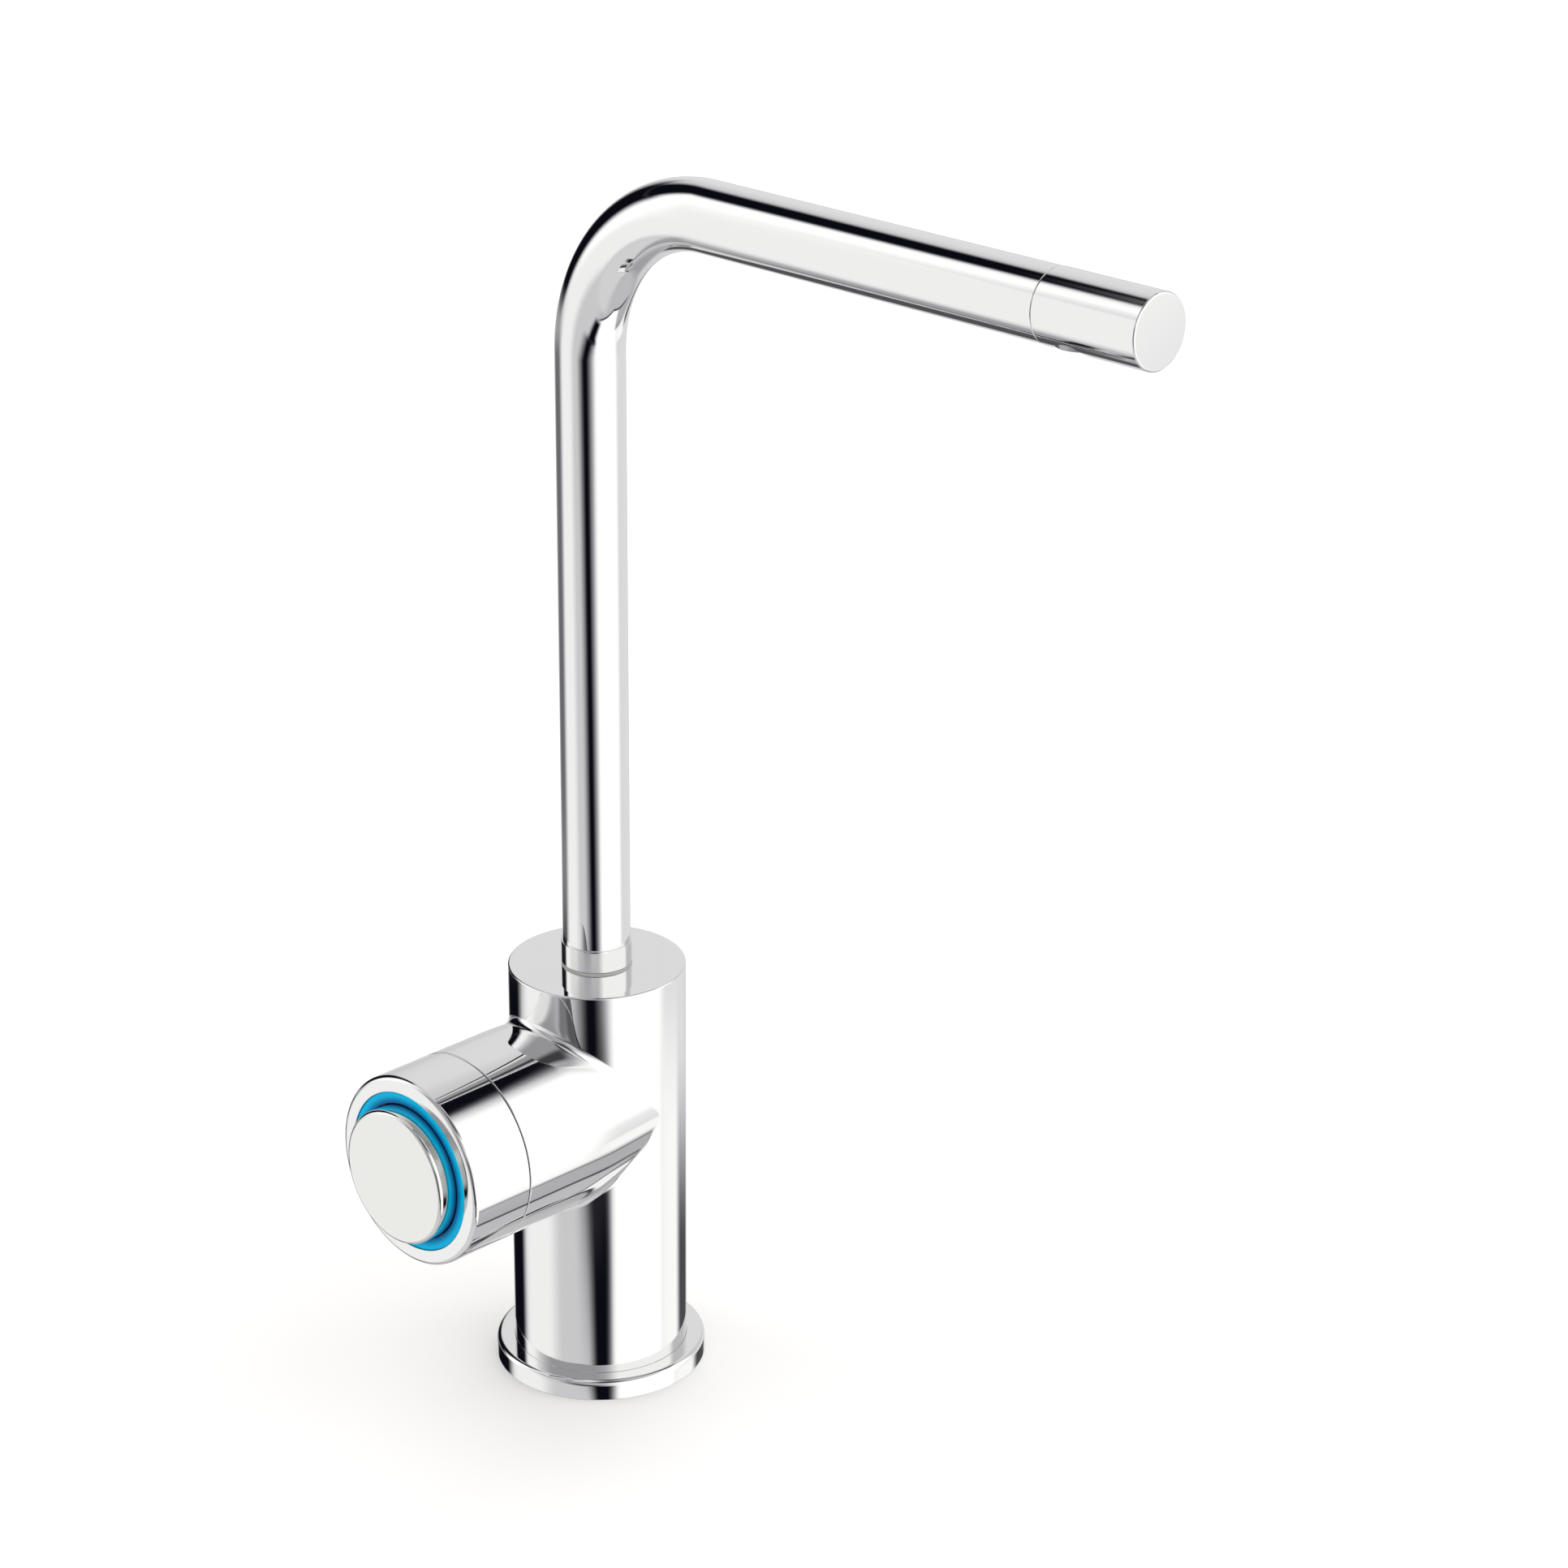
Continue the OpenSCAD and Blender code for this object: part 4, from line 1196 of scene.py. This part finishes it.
# %% Lamps and the tent's walls
brightness = None
for lamp in (
    # light, middle, half width, softness, lowest, highest, fade
    (1.00, -78, 42, 12),                 # the main lamp, in front on the camera's right
    (0.66, -8, 30, 14, -47, 4, 5),       # the wall beyond it
    (0.90, -24, 18, 8, -34, -26, 1.5),   # a brighter strip low on that wall
    (1.00, -44, 20, 8, -14, 47, 4),      # and its bright upper part
    (0.66, 36, 20, 8, 3, 47, 6),         # the back wall
    (0.82, 138, 26, 12, -46, 60, 6),     # the second lamp, on the camera's left
    (1.00, 116, 14, 8, -8, 48, 6),       # its hot side, further back
    (0.34, -172, 46, 18, 27, 90, 3),     # the roof, dim in front on the left
    (0.42, -78, 28, 14, 43, 90, 4),      # and on the right
    (0.20, -164, 12, 8, 5, 24, 4),       # the tent's mouth round the camera, in shade
    (0.10, -149, 20, 12, -15, 10, 6),
):
    brightness = hang(brightness, *lamp)
print("tent nodes with the lamps:", len(tent.nodes))

# %% The table as the walls mirror it
for sheet in (
    # light, middle, half width, softness, lowest, highest, fade, lean, bow
    (0.40, -36, 42, 8, -90, -35.5, 1.5, -0.8),      # its right side
    (0.57, 40, 26, 8, -90, -34, 2),                 # its back
    (0.33, 40, 30, 10, -90, -53, 5),                # the nearer part of the back, in shade
    (0.47, -62, 66, 10, -90, -53.2, 1, 0, 0.15),    # the nearer part of the right side
    (0.60, 150, 44, 16, -90, -50, 6),               # its left
    (0.60, -150, 50, 20, -90, -52, 3),              # its front
    (0.32, 100, 11, 7, -90, -45, 4),                # the shade behind on the left
    (0.20, -32, 12, 6, -37.3, -36.1, 0.6),          # two dark lines along the right side's edges
    (0.05, -62, 56, 10, -54.4, -52.6, 0.7, 0, 0.15),
):
    brightness = hang(brightness, *sheet)
print("tent nodes with the table:", len(tent.nodes))

# %% Black cards
for card in (
    # light, middle, half width, softness, lowest, highest, fade, lean
    (0.00, -167, 17, 14, -29.5, -13, 2.5, -1.0),    # the leaning card beside the camera
    (0.03, -126, 6, 6, -31, -27, 2),                # a strip below the camera
    (0.00, -159, 12, 7, -44, -27, 2.5, -0.87),      # the leaning card's lower part
    (0.00, 84, 23, 9, -12, 26, 4),                  # the card behind on the left
    (0.00, 87, 19, 7, 22, 55, 4),                   # narrower above
    (0.13, 92, 23, 14, -25, -14, 3),                # the gap under it
    (0.00, 84, 23, 8, -32, -24.2, 1),               # its foot
    (0.07, 74, 20, 4, -52, -33, 2),                 # and the foot's shadow
    (0.06, 13, 18, 8, -32, -27.5, 1.5),             # a low card behind on the right
    (0.00, -8, 17, 6, 50.5, 90, 2.5),               # two cards above
    (0.05, -120, 24, 12, 46, 90, 3),
):
    brightness = hang(brightness, *card)
print("tent nodes with the cards:", len(tent.nodes))

# %% [markdown]
# ## Light from the tent
# The cloth is white where it is bright and faintly violet in its shade. The camera sees
# plain white behind the faucet, and everything else sees the tent. A wide soft lamp from
# above lights the floor, and the polished walls don't mirror it. The tent alone could
# light the floor too, but the dark cards would leave it grey.

# %% Light the tent
BOOST = 1.28
cloth = add_node(tent, "ValToRGB", {}, {"Fac": brightness})
cloth.color_ramp.elements[0].color = (0.003, 0.003, 0.006, 1)
cloth.color_ramp.elements[1].color = (1.0, 1.0, 0.985, 1)
cloth.color_ramp.elements.new(0.45).color = (0.45, 0.448, 0.463, 1)
lit = add_node(tent, "VectorMath", {"operation": "SCALE", "Scale": BOOST}, {"Vector": cloth})
seen = add_node(tent, "LightPath").outputs["Is Camera Ray"]
light = add_node(tent, "Mix", {"data_type": "RGBA", "B": (1, 1, 1, 1)}, {"Factor": seen, "A": lit})
sky = add_node(tent, "Background", {"Strength": 1.0}, {"Color": light})
add_node(tent, "OutputWorld", links={"Surface": sky})
print("tent nodes in all:", len(tent.nodes))

# %% Hang the overhead lamp
overhead = bpy.data.objects.new("overhead", bpy.data.lights.new("overhead", "SUN"))
overhead.data.energy, overhead.data.angle = 1.9, radians(126)
overhead.location = (0, 0, 2)
overhead.visible_glossy = False
bpy.context.collection.objects.link(overhead)
print("overhead lamp", overhead.data.energy, "W/m2")

# %% [markdown]
# ## The camera
# The camera stands in front of the knob and the spout's end, and a little above them. Its
# place and its lens come from fitting the CAD model's outlines to the photograph's: a
# guessed camera would bend every proportion a little.

# %% Set up the camera
AZIMUTH, ELEVATION, ROLL = radians(-46.084), radians(22.425), radians(0.467)
TARGET = Vector((36.2, -37.6, 178.7)) * MM
DISTANCE = 1117.6 * MM
LENS = 92.95
back = Vector((sin(AZIMUTH) * cos(ELEVATION), -cos(AZIMUTH) * cos(ELEVATION), sin(ELEVATION)))
right = Vector((cos(AZIMUTH), sin(AZIMUTH), 0))
up = back.cross(right)
right, up = right * cos(ROLL) + up * sin(ROLL), up * cos(ROLL) - right * sin(ROLL)
lens_data = bpy.data.cameras.new("camera")
lens_data.lens, lens_data.sensor_width, lens_data.clip_start = LENS, 36.0, 0.01
camera = bpy.data.objects.new("camera", lens_data)
bpy.context.collection.objects.link(camera)
camera.matrix_world = Matrix((right, up, back)).transposed().to_4x4()
camera.location = TARGET + back * DISTANCE
bpy.context.scene.camera = camera
bpy.context.scene.view_settings.view_transform = "Standard"
print("camera at", [round(x / MM) for x in camera.location], "mm")

# %% Finish
bpy.context.view_layer.update()
